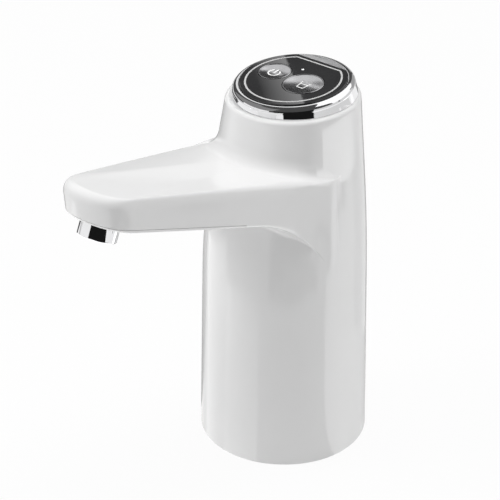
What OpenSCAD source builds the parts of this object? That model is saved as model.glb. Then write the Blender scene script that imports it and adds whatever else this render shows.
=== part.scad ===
// Electric pump for a large water bottle: a tapered body that stands on the
// bottle's neck, a broad spout with a bright nozzle, and a round key panel on top.
// Millimetres, +Z up. The origin is on the bottle socket's axis at the foot;
// the spout points along -Y.

/* [Body] */
// Outer radius of the body at the foot
base_r = 36; // [34:0.5:40]
// How much the radius shrinks per millimetre of height
body_draft = 0.022; // [0.010:0.001:0.030]
// Height where the neck starts to close in
neck_z = 98; // [92:1:102]
// Half length of the soft bend into the neck
neck_blend = 20; // [12:1:24]
// Backward lean of the neck per millimetre of height
neck_lean = 0.078; // [0.060:0.002:0.090]
// Wall thickness of the moulded shell
wall = 2; // [1.8:0.1:2.4]
// Rounding of the foot edge
foot_round = 0.8; // [0.4:0.1:1.2]

/* [Key panel] */
// Height of the panel's face at its centre
panel_z = 159.4; // [156:0.2:162]
// Distance of the panel's centre behind the body axis
panel_y = 4.1; // [3.5:0.1:4.7]
// Slope of the panel toward the spout, in degrees
panel_tilt = 6; // [4:0.5:8]
// Radius of the black panel
panel_r = 21.7; // [21:0.1:22]
// Distance of the panel's straight back edge from its centre
panel_flat = 17.5; // [16.5:0.1:18.5]
// Thickness of the panel
panel_t = 1.6; // [1.2:0.1:2]
// Outer radius of the bright ring where its wall meets the roll
ring_r = 24.7; // [24.4:0.1:24.9]
// Height of the panel's face above the body's rim, on the panel's axis
ring_h = 6.3; // [5.8:0.1:6.8]
// Slope of the body's rim toward the spout, in degrees
rim_tilt = 2.5; // [2:0.5:4]
// Width of the body's shoulder outside the ring
shoulder = 2.4; // [2.1:0.1:2.7]
// Radius of the power key
power_r = 6.7; // [6:0.1:7]
// Place of the power key across the panel
power_x = -10.4; // [-10.6:0.1:-10.2]
// Place of the power key along the panel
power_y = 0.8; // [0:0.1:1.6]
// Radius of the dose key
dose_r = 8.3; // [7.5:0.1:8.5]
// Place of the dose key across the panel
dose_x = 6.1; // [6:0.1:7]
// Place of the dose key along the panel
dose_y = -1.1; // [-2:0.1:0]
// Place of the status light across the panel
light_x = -2.1; // [-3:0.1:-1]
// Place of the status light along the panel
light_y = 8.3; // [7.8:0.1:9.5]
// Travel of a key
key_travel = 0.5; // [0.3:0.05:0.7]

/* [Spout] */
// Half width of the spout where its sides meet the body axis
spout_half = 32; // [31:0.5:33]
// Taper of each side of the spout, in degrees
spout_taper = 9; // [8:0.5:10]
// Reach of the spout from the body axis
spout_reach = 112.5; // [108:0.5:118]
// Radius of the spout's blunt front
tip_front_r = 24; // [22:1:30]
// Radius of the corners beside the front
tip_corner_r = 10; // [8:0.5:12]
// Height of the spout's top face, taken at the body axis
spout_top_z = 127.3; // [126:0.1:130]
// Rise of the top face per millimetre of reach
spout_top_rise = 0.228; // [0.200:0.002:0.250]
// Height of the spout's underside, taken at the body axis
spout_low_z = 106.8; // [104:0.1:108]
// Rise of the underside per millimetre of reach
spout_low_rise = 0.296; // [0.270:0.002:0.310]
// Radius of the arch from the underside down into the body
arch_r = 42; // [36:1:46]
// Lean of the spout's side wall per millimetre of height
side_draft = 0.04; // [0.02:0.01:0.06]
// Rounding of the spout's top edge
top_round = 4.5; // [3:0.1:5]
// Rounding of the spout's lower edge
low_round = 1.6; // [1:0.1:2]
// Rounding of that edge where it runs down the arch into the body
arch_round = 7; // [4:0.5:8]
// Fillet between spout and neck
neck_fillet = 6; // [4:0.5:8]
// Fillet between the spout's underside and the body
body_fillet = 4; // [3:0.5:5]
// Thickness of the underside cover at its visible edge
cover_edge = 1.2; // [0.9:0.1:1.5]

/* [Nozzle] */
// Outer radius of the nozzle
nozzle_r = 7.5; // [7:0.1:7.8]
// Distance of the nozzle's mouth from the body axis
nozzle_u = 105; // [102:0.5:110]
// Height of the nozzle's mouth
nozzle_z = 131; // [129:0.2:133]
// Lean of the nozzle away from the body, in degrees
nozzle_tilt = 24; // [18:1:26]

/* [Bottle socket] */
// Radius of the socket that slides over the bottle's neck
socket_r = 28; // [27.5:0.1:29]
// Depth of the socket
socket_depth = 26; // [22:1:30]
// Length of the snug ring at the socket's mouth
grip_l = 12; // [10:1:13]
// Extra radius above that ring, for the bead of the bottle's lip
bead_relief = 0.6; // [0.4:0.1:0.8]
// Thickness of the silicone ring that the bottle's lip meets
seal_t = 2.2; // [1.6:0.1:3]
// Thickness of the deck that carries the pump
deck_t = 3; // [2.5:0.5:4]
// Outer radius of the stub that takes the intake hose
hose_stub_r = 4.2; // [3.8:0.1:4.6]
// Length of the hose stub below the deck
hose_stub_l = 15; // [12:1:16]

/* [Pump and motor] */
// Teeth on each pump gear
gear_teeth = 12; // [12:1:13]
// Pitch radius of each pump gear
gear_pitch_r = 6; // [5.8:0.1:6.2]
// Width of the pump gears
gear_w = 10; // [8:0.5:12]
// Free height between deck and pump
pump_lift = 18; // [16:1:20]
// Radius of the motor's can
motor_r = 12.2; // [11.5:0.1:12.4]
// Length of the motor's can
motor_l = 30.8; // [28:0.1:33]
// Radius of the motor's shaft
shaft_r = 1; // [0.8:0.1:1.2]
// Outer radius of the silicone outlet tube
tube_r = 3.6; // [3.3:0.1:3.7]
// Bore radius of the silicone outlet tube
tube_bore_r = 2.45; // [2.2:0.05:2.5]
// Distance of the outlet tube in front of the body axis
outlet_u = 23.5; // [23.5:0.1:24.5]
// Bend radius of the outlet tube
tube_bend_r = 14; // [13:0.5:15]
// Rise of the outlet tube along the spout, in degrees
tube_rise = 14.8; // [14.4:0.1:15]

/* [Power supply] */
// Radius of the battery cell
cell_r = 9.2; // [9:0.1:9.3]
// Length of the battery cell
cell_l = 65; // [60:1:70]
// Distance of the cell behind the body axis
cell_y = 17; // [16.8:0.1:17.4]

/* [Hidden] */
$fn = 96;

// Steps of the shell's surface grid, in degrees from the spout's middle
tip_step = 2;
tip_end = 20;
side_step = 4;
side_end = 92;
back_step = 8;
half_angles = concat(
    [for (a = [0 : tip_step : tip_end - tip_step]) a],
    [for (a = [tip_end : side_step : side_end - side_step]) a],
    [for (a = [side_end : back_step : 180]) a]);
last_half = len(half_angles) - 1;
angles = concat([for (i = [last_half - 1 : -1 : 1]) -half_angles[i]], half_angles);
fillet_steps = 4;

// Radius, centre and soft bend of the body at a height
function ramp(x, w) = x < -w ? 0 : x > w ? x : pow(x + w, 2) / (4 * w);
function neck_run(z) = ramp(z - neck_z, neck_blend);
function body_r(z) = base_r - body_draft * z - neck_close * neck_run(z);
function body_y(z) = neck_lean * neck_run(z);
// Distance from the axis to the body's wall in one direction, with the wall moved in by t
function wall_at(a, z, t) =
    let (c = body_y(z), r = body_r(z) - t)
    -c * cos(a) + sqrt(r * r - pow(c * sin(a), 2));

// The spout's plan: straight tapering sides, corner arcs and a blunt front arc
side_line = spout_half * cos(spout_taper);
tangent_u = side_line * sin(spout_taper);
front_u = spout_reach - tip_front_r;
corner_reach = tip_front_r - tip_corner_r;
corner_line = side_line - tip_corner_r;
quad_a = pow(tan(spout_taper), 2) + 1;
quad_b = -2 * (corner_line * sin(spout_taper) / pow(cos(spout_taper), 2) + front_u);
quad_c = pow(corner_line / cos(spout_taper), 2) + pow(front_u, 2) - pow(corner_reach, 2);
corner_u = (-quad_b + sqrt(quad_b * quad_b - 4 * quad_a * quad_c)) / (2 * quad_a);
corner_x = (corner_line - corner_u * sin(spout_taper)) / cos(spout_taper);
front_end = atan2(corner_x, corner_u - front_u);
front_angle = atan2(tip_front_r * sin(front_end), front_u + tip_front_r * cos(front_end));
// How fast the outline closes in behind the sides, per square degree
root_fade = 0.06;
corner_angle = atan2(corner_x + tip_corner_r * cos(spout_taper), corner_u + tip_corner_r * sin(spout_taper));
function circle_at(a, x, u, r) =
    x * sin(a) + u * cos(a) + sqrt(max(r * r - pow(x * cos(a) - u * sin(a), 2), 0));
function spout_at(a, t) =
    let (b = abs(a))
    b <= front_angle ? circle_at(b, 0, front_u, tip_front_r - t)
    : b <= corner_angle ? circle_at(b, corner_x, corner_u, tip_corner_r - t)
    : b < 90 - spout_taper ? (side_line - t) / sin(b + spout_taper)
    : max(side_line - t - root_fade * pow(b - 90 + spout_taper, 2), 0);

// Heights of the spout's top face and underside at a reach u, moved in by t
low_angle = atan(spout_low_rise);
top_angle = atan(spout_top_rise);
function top_z(u, t) = spout_top_z + spout_top_rise * max(u, tangent_u) - t / cos(top_angle);
function side_run(u) = (max(u, tangent_u) - tangent_u) / cos(spout_taper);
function low_z(u, t) =
    let (v = max(u, tangent_u), s = side_run(u))
    spout_low_z + spout_low_rise * v
    + (s < arch_r ? sqrt(pow(arch_r + t, 2) - pow(arch_r - s, 2)) - arch_r : t / cos(low_angle));
function settle_top(a, t, z, n) =
    n == 0 ? z : settle_top(a, t, top_z(wall_at(a, z, t) * cos(a), t), n - 1);
function settle_low(a, t, z, n) =
    n == 0 ? z : settle_low(a, t, (z + low_z(wall_at(a, z, t) * cos(a), t)) / 2, n - 1);
// Height of the body's rim in one direction
rim_z = panel_z - ring_h * cos(panel_tilt);
rim_y = panel_y + ring_h * sin(panel_tilt);
function settle_rim(a, t, z, n) =
    n == 0 ? z : settle_rim(a, t, rim_z - tan(rim_tilt) * (wall_at(a, z, t) * cos(a) + rim_y), n - 1);
// Extra shrinking of the radius per millimetre along the neck, so that the rim suits the ring
neck_close = (base_r - body_draft * rim_z - ring_r - shoulder) / neck_run(rim_z);

// One upright section of the shell as [distance from the axis, height] points,
// from the foot, under and over the spout, to the rim
row_gap = 0.12;
rim_round = 1.6;
rim_steps = 3;
rim_lip_w = 1.2;
rim_lip_h = 1.6;
// Soft bend where the spout's sides leave the body, and the reach up to which rows keep to the body's wall
root_blend = 1.5;
root_hold = 2;
low_rows = 3;
under_rows = [0.12, 0.3, 0.55];
side_rows = 2;
neck_rows = 3;
function section(a, t, n) =
    let (
        zt = settle_top(a, t, spout_top_z, 12),
        zl = settle_low(a, t, spout_low_z, 60),
        rt = wall_at(a, zt, t),
        rl = wall_at(a, zl, t),
        reach = spout_at(a, t),
        et = ramp(reach - rt, root_blend),
        side_h = top_z((rt + et) * cos(a), t) - low_z((rt + et) * cos(a), t),
        lean = side_draft * side_h,
        el = ramp(reach - rl - lean * min(1, max(reach - rl, 0) / 6), root_blend),
        st = rt + et,
        sl = rl + el,
        zst = top_z(st * cos(a), t),
        zsl = low_z(sl * cos(a), t),
        f1 = min(body_fillet + t, 0.45 * el),
        edge = low_round + (arch_round - low_round) * max(1 - side_run(sl * cos(a)) / arch_r, 0),
        f2 = min(max(edge - t, 0.3), 0.45 * el),
        f3 = min(top_round - t, 0.45 * et, 0.45 * (zst - zsl)),
        f4 = min(neck_fillet + t, 0.45 * et),
        v1 = max(f1, 0.5),
        v2 = max(f2, 0.4),
        v3 = max(f3, 0.6),
        v4 = max(f4, 0.6),
        low_hold = max(1 - el / root_hold, 0),
        top_hold = max(1 - et / root_hold, 0),
        foot = t == 0 ? foot_round : 0,
        rim_in = t == 0 ? rim_round : t + rim_lip_w,
        zr = settle_rim(a, rim_in, rim_z, 12),
        z_side0 = zsl + row_gap + v2,
        z_side1 = zst - v3,
        z_neck0 = top_z(rt * cos(a), t) + row_gap + v4,
        z_neck1 = zr - (t == 0 ? rim_round : rim_lip_h + rim_lip_w)
    )
    concat(
        foot > 0 ? [[wall_at(a, 0, t) - foot, 0]] : [],
        [for (i = [0 : low_rows - 1])
            let (z = foot + (zl - v1 - foot) * i / low_rows) [wall_at(a, z, t), z]],
        [for (i = [0 : n])
            let (q = 90 * i / n, r = rl + f1 * (1 - cos(q)), z = low_z(r * cos(a), t) - v1 * (1 - sin(q)),
                w = wall_at(a, z, t))
            [max(r + low_hold * (w - rl), w), z]],
        [for (k = under_rows)
            let (r = rl + f1 + (sl - f2 - rl - f1) * k, z = low_z(r * cos(a), t) + row_gap * k)
            [r + low_hold * (wall_at(a, z, t) - rl), z]],
        [for (i = [0 : n])
            let (q = 90 * i / n, r = sl - f2 * (1 - sin(q)),
                z = low_z(r * cos(a), t) + row_gap + v2 * (1 - cos(q)))
            [r + low_hold * (wall_at(a, z, t) - rl), z]],
        [for (i = [1 : side_rows])
            let (k = i / (side_rows + 1), z = z_side0 + (z_side1 - z_side0) * k)
            [max(sl + (st - sl) * k, wall_at(a, z, t)), z]],
        [for (i = [0 : n])
            let (q = 90 * i / n, r = st - f3 * (1 - cos(q)), z = top_z(r * cos(a), t) - v3 * (1 - sin(q)))
            [r + top_hold * (wall_at(a, z, t) - rt), z]],
        [for (i = [0 : n])
            let (q = 90 * i / n, d = f4 * (1 - sin(q)),
                z = top_z((rt + d) * cos(a), t) + row_gap + v4 * (1 - cos(q)))
            [wall_at(a, z, t) + d, z]],
        [for (i = [1 : neck_rows])
            let (z = z_neck0 + (z_neck1 - z_neck0) * i / neck_rows) [wall_at(a, z, t), z]],
        t == 0 ? [for (i = [1 : rim_steps])
            let (q = 90 * i / rim_steps)
            [wall_at(a, z_neck1, 0) - rim_round * (1 - cos(q)), z_neck1 + rim_round * sin(q)]]
        : [for (z = [zr - rim_lip_h, zr]) [wall_at(a, z, rim_in), z]]);
function ring_point(a, p) = [p[0] * sin(a), -p[0] * cos(a), p[1]];
function skin(t, n) = [for (a = angles) [for (p = section(a, t, n)) ring_point(a, p)]];
function flat_list(rows) = [for (row = rows) for (p = row) p];
// Triangles between neighbouring columns of a closed ring of columns
function skin_faces(columns, rows, start, inward) = [
    for (i = [0 : columns - 1]) for (j = [0 : rows - 2])
        let (k = (i + 1) % columns,
            p = start + i * rows + j, q = start + k * rows + j, u = p + 1, v = q + 1)
        for (f = inward ? [[p, q, v], [p, v, u]] : [[p, v, q], [p, u, v]]) f];
// Triangles across two rows of points, one on the outer skin and one on the inner
function rim_faces(columns, outer_rows, inner_rows, inner_start, top) = [
    for (i = [0 : columns - 1])
        let (k = (i + 1) % columns,
            p = i * outer_rows + (top ? outer_rows - 1 : 0),
            q = k * outer_rows + (top ? outer_rows - 1 : 0),
            u = inner_start + i * inner_rows + (top ? inner_rows - 1 : 0),
            v = inner_start + k * inner_rows + (top ? inner_rows - 1 : 0))
        for (f = top ? [[p, v, q], [p, u, v]] : [[p, q, v], [p, v, u]]) f];

// Small clearances
slip = 0.01;
press_gap = 0.02;
fit_gap = 0.05;
run_gap = 0.03;
screw_gap = 0.2;

// Underside cover of the spout
cover_u = 50;
cover_past = 10;
cover_run = (spout_reach + cover_past - cover_u) / cos(low_angle);
cover_room = 12;
cover_gap = 0.15;
cover_ledge = 1;
cover_t = 2.4;

// Nozzle, measured along its axis from the mouth
boss_r = 7.4;
boss_s = 10;
neck_r = 5.4;
neck_bore_r = 4.2;
nut_r = 7.2;
nut_t = 2;
neck_top = boss_s + nut_t + 0.2;
cup_r = 6.2;
cup_depth = 4.2;
neck_foot_s = cup_depth + wall;
rim_bevel = 0.5;
screen_s = 1.8;
screen_t = 1.6;
screen_hole_r = 1.1;
water_r = 1.6;
elbow_r = 4.6;
elbow_bore_r = 2.4;
elbow_s = 14.1;
elbow_foot_s = 8;
elbow_top_s = 16.4;
elbow_turn = nozzle_tilt - tube_rise;
barb_l = 14;

// Ring, panel and keys, measured square to the panel's face
panel_gap = 0.15;
lip_h = -0.5;
lip_overlap = 0.3;
lip_w = 0.45;
crest_r = panel_r + panel_gap + lip_w;
crest_drop = 2.9;
ring_draft = 0.2;
ledge_w = 3;
ledge_r = panel_r - ledge_w;
ledge_t = 1.4;
skirt_gap = 0.9;
skirt_l = 2.5;
seat_gap = 0.05;
skirt_r = body_r(rim_z) - wall - rim_lip_w - skirt_gap;
skirt_t = 1.8;
// The keys are drawn for a panel of this radius and follow the real one
face_r = 21.7;
key_scale = panel_r / face_r;
power_at = key_scale * [power_x, power_y];
power_cap_r = key_scale * power_r;
dose_at = key_scale * [dose_x, dose_y];
dose_cap_r = key_scale * dose_r;
light_at = key_scale * [light_x, light_y];
key_gap = 0.2;
key_dish = 0.5;
key_rim = 0.45;
key_proud = 0.15;
flange_gap = 0.05;
flange_t = 0.7;
flange_w = 0.7;
stem_r = 1.6;
lens_r = 0.6;
lens_rod_r = 1.2;
led_h = 0.8;
board_t = 1.2;
switch_w = 6;
switch_h = 3.5;
plunger_r = 1.7;
plunger_h = 0.9;
plunger_sink = 0.8;
plunger_top = -panel_t - flange_gap - flange_t - 1.3;
board_top = plunger_top - plunger_h - switch_h;
post_angles = [40, 160, 280];
post_r = 1.9;
post_sink = 0.2;
post_at = skirt_r - skirt_t - post_r + post_sink;
board_edge = 1.5;
board_r = post_at + board_edge;
board_screw_r = 0.9;
board_screw_l = 4;
chip_at = [-4, -11];
chip_w = 8;
chip_l = 6;
chip_h = 1.5;
plug_w = 4.5;
plug_h = 4;
motor_plug_at = [-8, -8];
supply_plug_at = [0, 8];

// Deck and what stands on it
deck_low = socket_depth + seal_t;
deck_z = deck_low + deck_t;
collar_gap = 0.3;
function collar_r(z) = body_r(z) - wall - collar_gap;
seal_lip = 0.8;
seal_bite = bead_relief + seal_lip;
seal_w = 4;
stub_step = 1.8;
barb_flange_r = 7.6;
barb_flange_t = 2;
inlet_r = 4;
inlet_bore_r = 2.6;
inlet_stub_l = 7;
inlet_tube_t = 1.9;
pump_posts = [[-12.5, -18], [12.5, -18], [-12.5, 0.8], [12.5, 0.8]];
post_wide_r = 4.2;
pump_screw_r = 1.5;
pump_head_r = 2.7;
pump_head_h = 2.2;
screw_seat_z = deck_z + 1.5;
screw_bite = 4;

// Gear pump
gear_tip_r = gear_pitch_r + 0.85;
gear_root_r = gear_pitch_r - 1.15;
pressure_angle = 25;
backlash_angle = 0.8;
drive_at = [-gear_pitch_r, -8];
idler_at = [gear_pitch_r, -8];
port_reach = 8;
port_r = 4.6;
chamber_gap = 0.12;
face_gap = 0.1;
pump_half_w = 17;
pump_front = -22.4;
pump_back = 5;
outlet_half_w = 5;
cover_z = deck_z + pump_lift;
pump_cover_t = 3;
gasket_t = 0.5;
body_z = cover_z + pump_cover_t + gasket_t;
pin_r = 1.5;
pin_bite = 2;
seal_h = 2.6;
seal_r = 2.9;
nose_l = 1.8;
nose_r = 3.1;
plate_z = body_z + gear_w + 2 * face_gap;
plate_t = 6.4;
motor_z = plate_z + plate_t;
outlet_stub_l = 9;
passage_z = body_z + gear_w / 2;

// Motor
can_t = 1;
bush_r = 2.4;
motor_screw_r = 1.25;
motor_head_r = 2.2;
motor_head_h = 1.3;
motor_screw_pitch = 8;
motor_screw_at = [for (s = [-1, 1]) [drive_at[0], drive_at[1] + motor_screw_pitch * s]];
magnet_foot = 4;
magnet_head = 9;
magnet_z = motor_z + can_t + magnet_foot;
magnet_l = motor_l - magnet_foot - magnet_head;
core_r = 8.4;
slot_w = 1.2;
slot_l = 2;
slot_r = 2;
air_gap = 0.4;
comm_r = 2.6;
comm_gap = 1;
cap_t = 2;
cap_z = motor_z + motor_l - cap_t;
brush_w = 2;
brush_h = 3;
terminal_x = 6;
terminal_h = 3.5;
terminal_w = 3;
terminal_t = 0.8;

// Route of the outlet tube as [reach, height]: up, round the bend, along the spout
elbow_u = nozzle_u - elbow_s * sin(nozzle_tilt);
elbow_z = nozzle_z + elbow_s * cos(nozzle_tilt);
bend_turn = 90 - tube_rise;
bend_end_u = outlet_u + tube_bend_r * (1 - cos(bend_turn));
bend_end_z = elbow_z - (elbow_u - bend_end_u) * tan(tube_rise);
bend_z = bend_end_z - tube_bend_r * sin(bend_turn);
tube_foot_z = motor_z + 0.2;
tube_end_run = 7.8;
tube_end_u = elbow_u - tube_end_run * cos(tube_rise);
tube_route = concat(
    [for (i = [0 : 4]) [outlet_u, tube_foot_z + (bend_z - tube_foot_z) * i / 5]],
    [for (i = [0 : 9]) let (q = bend_turn * i / 9)
        [outlet_u + tube_bend_r * (1 - cos(q)), bend_z + tube_bend_r * sin(q)]],
    [for (i = [1 : 4]) let (u = bend_end_u + (tube_end_u - bend_end_u) * i / 4)
        [u, elbow_z - (elbow_u - u) * tan(tube_rise)]]);

// Battery, its holder and the charging port
holder_floor = 3;
holder_r = cell_r + 2.2;
holder_mouth = 14.8;
cell_gap = 0.2;
cell_z = deck_z + holder_floor + 0.3;
cap_nub_r = 3.2;
cap_nub_h = 0.8;
tab_w = 5;
tab_t = 0.25;
top_tab_l = 6;
tab_front = cell_y - cell_r - 1.6;
shelf_z = cell_z + cell_l + 4.4;
shelf_t = 2.4;
shelf_half_w = 9.5;
shelf_l = 19.6;
shelf_front = cell_y - cell_r + 0.4;
holder_ears = [[-14, 21], [14, 21]];
ear_r = 4;
holder_screw_r = 1.2;
holder_bite = 2.4;
holder_head_h = 1.4;
charge_half_w = 8.5;
charge_front = cell_y - cell_r + 1;
plug_shell_w = 8.9;
plug_shell_h = 3.2;
socket_l = 7.3;
socket_floor = 1.2;
sheet_t = 0.3;
tongue_w = 6.6;
tongue_t = 0.7;
port_gap = 0.4;
port_z = shelf_z + shelf_t + board_t + plug_shell_h / 2;
port_w = plug_shell_w + 2 * port_gap;
port_h = plug_shell_h + 2 * port_gap;
socket_back = body_y(port_z) + body_r(port_z) - wall - socket_l + port_gap;
charge_back = socket_back + socket_l - 2.4;

// Leads, as points chosen by hand from the pieces that they join
lead_r = 0.7;
lead_x = 1.5;
lead_gap = 0.15;
lead_pitch = 1.2;
sweep_ref = [1, 0.15, 0.1];
lead_front = tab_front + lead_r;
board_face = shelf_z + shelf_t + board_t + lead_r + 0.05;
plus_z = cell_z + cell_l + cap_nub_h + tab_t + lead_r + 0.05;
plus_route = [
    [lead_x, cell_y - 5, plus_z], [lead_x, cell_y - 8, plus_z],
    [lead_x, lead_front, shelf_z], [lead_x, lead_front, shelf_z + 3],
    [lead_x, charge_front - 0.5, board_face + 0.4], [lead_x, charge_front + 2, board_face]];
minus_route = [
    [-lead_x, lead_front, cell_z + fit_gap], [-lead_x, lead_front, cell_z + cell_l / 3],
    [-lead_x, lead_front, cell_z + 2 * cell_l / 3],
    [-lead_x, lead_front, shelf_z], [-lead_x, lead_front, shelf_z + 3],
    [-lead_x, charge_front - 0.5, board_face + 0.4], [-lead_x, charge_front + 2, board_face]];
// A point on the panel's own axes, in the body's frame
function off_panel(x, y, z) = [x, panel_y + y * cos(panel_tilt) - z * sin(panel_tilt),
    panel_z + y * sin(panel_tilt) + z * cos(panel_tilt)];
plug_low = board_top - board_t - plug_h - lead_gap;
function motor_route(s) =
    let (t = [
            drive_at[0] + s * terminal_x,
            drive_at[1] - terminal_t / 2 - lead_r - fit_gap,
            cap_z + cap_t + 2],
        e = off_panel(motor_plug_at[0] + s * lead_pitch, motor_plug_at[1], plug_low))
    [t, t + [0, 0, 6], (t + e) / 2, e - [0, 0, 6], e];
function supply_route(s) =
    let (t = [s * 4, charge_front + 5, board_face - lead_r],
        e = off_panel(supply_plug_at[0] + s * lead_pitch, supply_plug_at[1], plug_low))
    [t, t + [0, 0, 5], (t + e) / 2, e - [0, 0, 5], e];

module shell_skin() {
    outer = skin(0, fillet_steps);
    inner = skin(wall, fillet_steps - 1);
    columns = len(angles);
    outer_rows = len(outer[0]);
    inner_rows = len(inner[0]);
    inner_start = columns * outer_rows;
    polyhedron(
        points = concat(flat_list(outer), flat_list(inner)),
        faces = concat(
            skin_faces(columns, outer_rows, 0, false),
            skin_faces(columns, inner_rows, inner_start, true),
            rim_faces(columns, outer_rows, inner_rows, inner_start, false),
            rim_faces(columns, outer_rows, inner_rows, inner_start, true)),
        convexity = 10);
}

// Places that other pieces share
module on_panel() {
    translate([0, panel_y, panel_z]) rotate([panel_tilt, 0, 0]) children();
}
module on_rim() {
    translate([0, rim_y, rim_z]) rotate([rim_tilt, 0, 0]) children();
}
module on_underside() {
    translate([0, -cover_u, spout_low_z + spout_low_rise * cover_u]) rotate([-low_angle, 0, 0]) children();
}
module on_nozzle() {
    translate([0, -nozzle_u, nozzle_z]) rotate([-nozzle_tilt, 0, 0]) children();
}
module tube(r, bore, h) {
    difference() {
        cylinder(r = r, h = h);
        translate([0, 0, -slip]) cylinder(r = bore, h = h + 2 * slip);
    }
}
// A bar with two round ends, lying along Y
module round_bar(w, h, l) {
    rotate([90, 0, 0]) {
        translate([-w / 2 + h / 2, 0, 0]) cylinder(d = h, h = l);
        translate([w / 2 - h / 2, 0, 0]) cylinder(d = h, h = l);
        translate([-w / 2 + h / 2, -h / 2, 0]) cube([w - h, h, l]);
    }
}
// A screw with a round head; its shank points down from z = 0
module screw(head_r, head_h, shank_r, shank_l) {
    cross_l = 1.2 * head_r;
    cross_w = 0.25 * head_r;
    difference() {
        cylinder(r = head_r, h = head_h);
        for (a = [0, 90]) rotate([0, 0, a]) translate([-cross_l / 2, -cross_w / 2, head_h / 2])
            cube([cross_l, cross_w, head_h]);
    }
    translate([0, 0, -shank_l]) cylinder(r = shank_r, h = shank_l + slip);
}
// A round wire, and a round tube, along a list of points
function unit(v) = v / norm(v);
function tangent(p, i) = unit(p[min(i + 1, len(p) - 1)] - p[max(i - 1, 0)]);
function ring_points(p, i, r, sides) =
    let (t = tangent(p, i), x = unit(cross(t, sweep_ref)), y = cross(t, x))
    [for (k = [0 : sides - 1]) let (q = 360 * k / sides) p[i] + r * (cos(q) * x + sin(q) * y)];
function ring_faces(rings, sides, start, inward) = [
    for (i = [0 : rings - 2]) for (k = [0 : sides - 1])
        let (m = (k + 1) % sides, p = start + i * sides + k, q = start + i * sides + m,
            u = p + sides, v = q + sides)
        for (f = inward ? [[p, q, v], [p, v, u]] : [[p, v, q], [p, u, v]]) f];
module swept_wire(p, r, sides) {
    rings = len(p);
    last = (rings - 1) * sides;
    polyhedron(
        points = [for (i = [0 : rings - 1]) for (v = ring_points(p, i, r, sides)) v],
        faces = concat(
            ring_faces(rings, sides, 0, false),
            [for (k = [1 : sides - 2]) [0, k, k + 1]],
            [for (k = [1 : sides - 2]) [last, last + k + 1, last + k]]),
        convexity = 8);
}
module swept_tube(p, r, bore, sides) {
    rings = len(p);
    inner = rings * sides;
    last = (rings - 1) * sides;
    polyhedron(
        points = concat(
            [for (i = [0 : rings - 1]) for (v = ring_points(p, i, r, sides)) v],
            [for (i = [0 : rings - 1]) for (v = ring_points(p, i, bore / cos(180 / sides), sides)) v]),
        faces = concat(
            ring_faces(rings, sides, 0, false),
            ring_faces(rings, sides, inner, true),
            [for (k = [0 : sides - 1]) let (m = (k + 1) % sides)
                for (f = [[k, m, inner + m], [k, inner + m, inner + k]]) f],
            [for (k = [0 : sides - 1]) let (m = (k + 1) % sides)
                let (p = last + k, q = last + m, u = inner + p, v = inner + q)
                for (f = [[p, v, q], [p, u, v]]) f]),
        convexity = 8);
}
// A smooth curve through a short list of points
function spline_at(a, b, c, d, t) =
    0.5 * (2 * b + (c - a) * t + (2 * a - 5 * b + 4 * c - d) * t * t + (3 * b - a - 3 * c + d) * t * t * t);
function smooth(p, n) = concat(
    [for (i = [0 : len(p) - 2]) for (k = [0 : n - 1])
        spline_at(p[max(i - 1, 0)], p[i], p[i + 1], p[min(i + 2, len(p) - 1)], k / n)],
    [p[len(p) - 1]]);

// Housing
module housing_shell() {
    color("white") difference() {
        shell_skin();
        // room for the underside cover: a step at the edge and an opening inside it
        on_underside() translate([-spout_half, -cover_run, -cover_room])
            cube([2 * spout_half, cover_run, cover_room + cover_edge + cover_gap]);
        on_underside() translate([0, 0, -cover_room])
            linear_extrude(cover_room + 2 * wall) plan_outline(wall + cover_ledge, cover_ledge);
        // charging port in the back
        translate([0, body_y(port_z) + body_r(port_z) + wall, port_z]) round_bar(port_w, port_h, 3 * wall);
    }
}
// The spout's plan seen square to its underside, moved in by t, from the cover's inner end outward
module plan_outline(t, end_gap) {
    steps = 6;
    line_x = (side_line - t - (cover_u + end_gap) * sin(spout_taper)) / cos(spout_taper);
    corner = [for (i = [0 : steps]) let (q = spout_taper + (90 - front_end - spout_taper) * i / steps)
        [corner_x + (tip_corner_r - t) * cos(q), corner_u + (tip_corner_r - t) * sin(q)]];
    front = [for (i = [1 : steps]) let (q = front_end * (1 - i / steps))
        [(tip_front_r - t) * sin(q), front_u + (tip_front_r - t) * cos(q)]];
    half = concat([[line_x, cover_u + end_gap]], corner, front);
    count = len(half);
    whole = concat(half, [for (i = [count - 2 : -1 : 0]) [-half[i][0], half[i][1]]]);
    polygon([for (p = whole) [p[0], -(p[1] - cover_u) / cos(low_angle)]]);
}
module spout_cover() {
    color("white") difference() {
        union() {
            // visible edge: a slice of the spout's own lower edge
            intersection() {
                outer_solid();
                on_underside() translate([-spout_half, -cover_run, -cover_room])
                    cube([2 * spout_half, cover_run - cover_gap, cover_room + cover_edge]);
            }
            // raised panel that locates in the opening
            on_underside() translate([0, 0, cover_edge / 2]) linear_extrude(cover_t - cover_edge / 2)
                plan_outline(wall + cover_ledge + cover_gap, 2 * cover_ledge);
            // boss square to the nozzle
            intersection() {
                on_nozzle() cylinder(r = boss_r, h = boss_s);
                on_underside() translate([-spout_half, -cover_run, cover_edge / 2])
                    cube([2 * spout_half, cover_run, 4 * cover_t]);
            }
        }
        on_nozzle() cylinder(r = neck_r + fit_gap, h = 3 * boss_s);
    }
}
module outer_solid() {
    outer = skin(0, fillet_steps);
    columns = len(angles);
    rows = len(outer[0]);
    low = columns * rows;
    high = low + 1;
    polyhedron(
        points = concat(flat_list(outer), [[0, 0, 0], [0, rim_y, rim_z]]),
        faces = concat(
            skin_faces(columns, rows, 0, false),
            [for (i = [0 : columns - 1]) [i * rows, ((i + 1) % columns) * rows, low]],
            [for (i = [0 : columns - 1]) [((i + 1) % columns) * rows + rows - 1, i * rows + rows - 1, high]]),
        convexity = 10);
}
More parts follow.
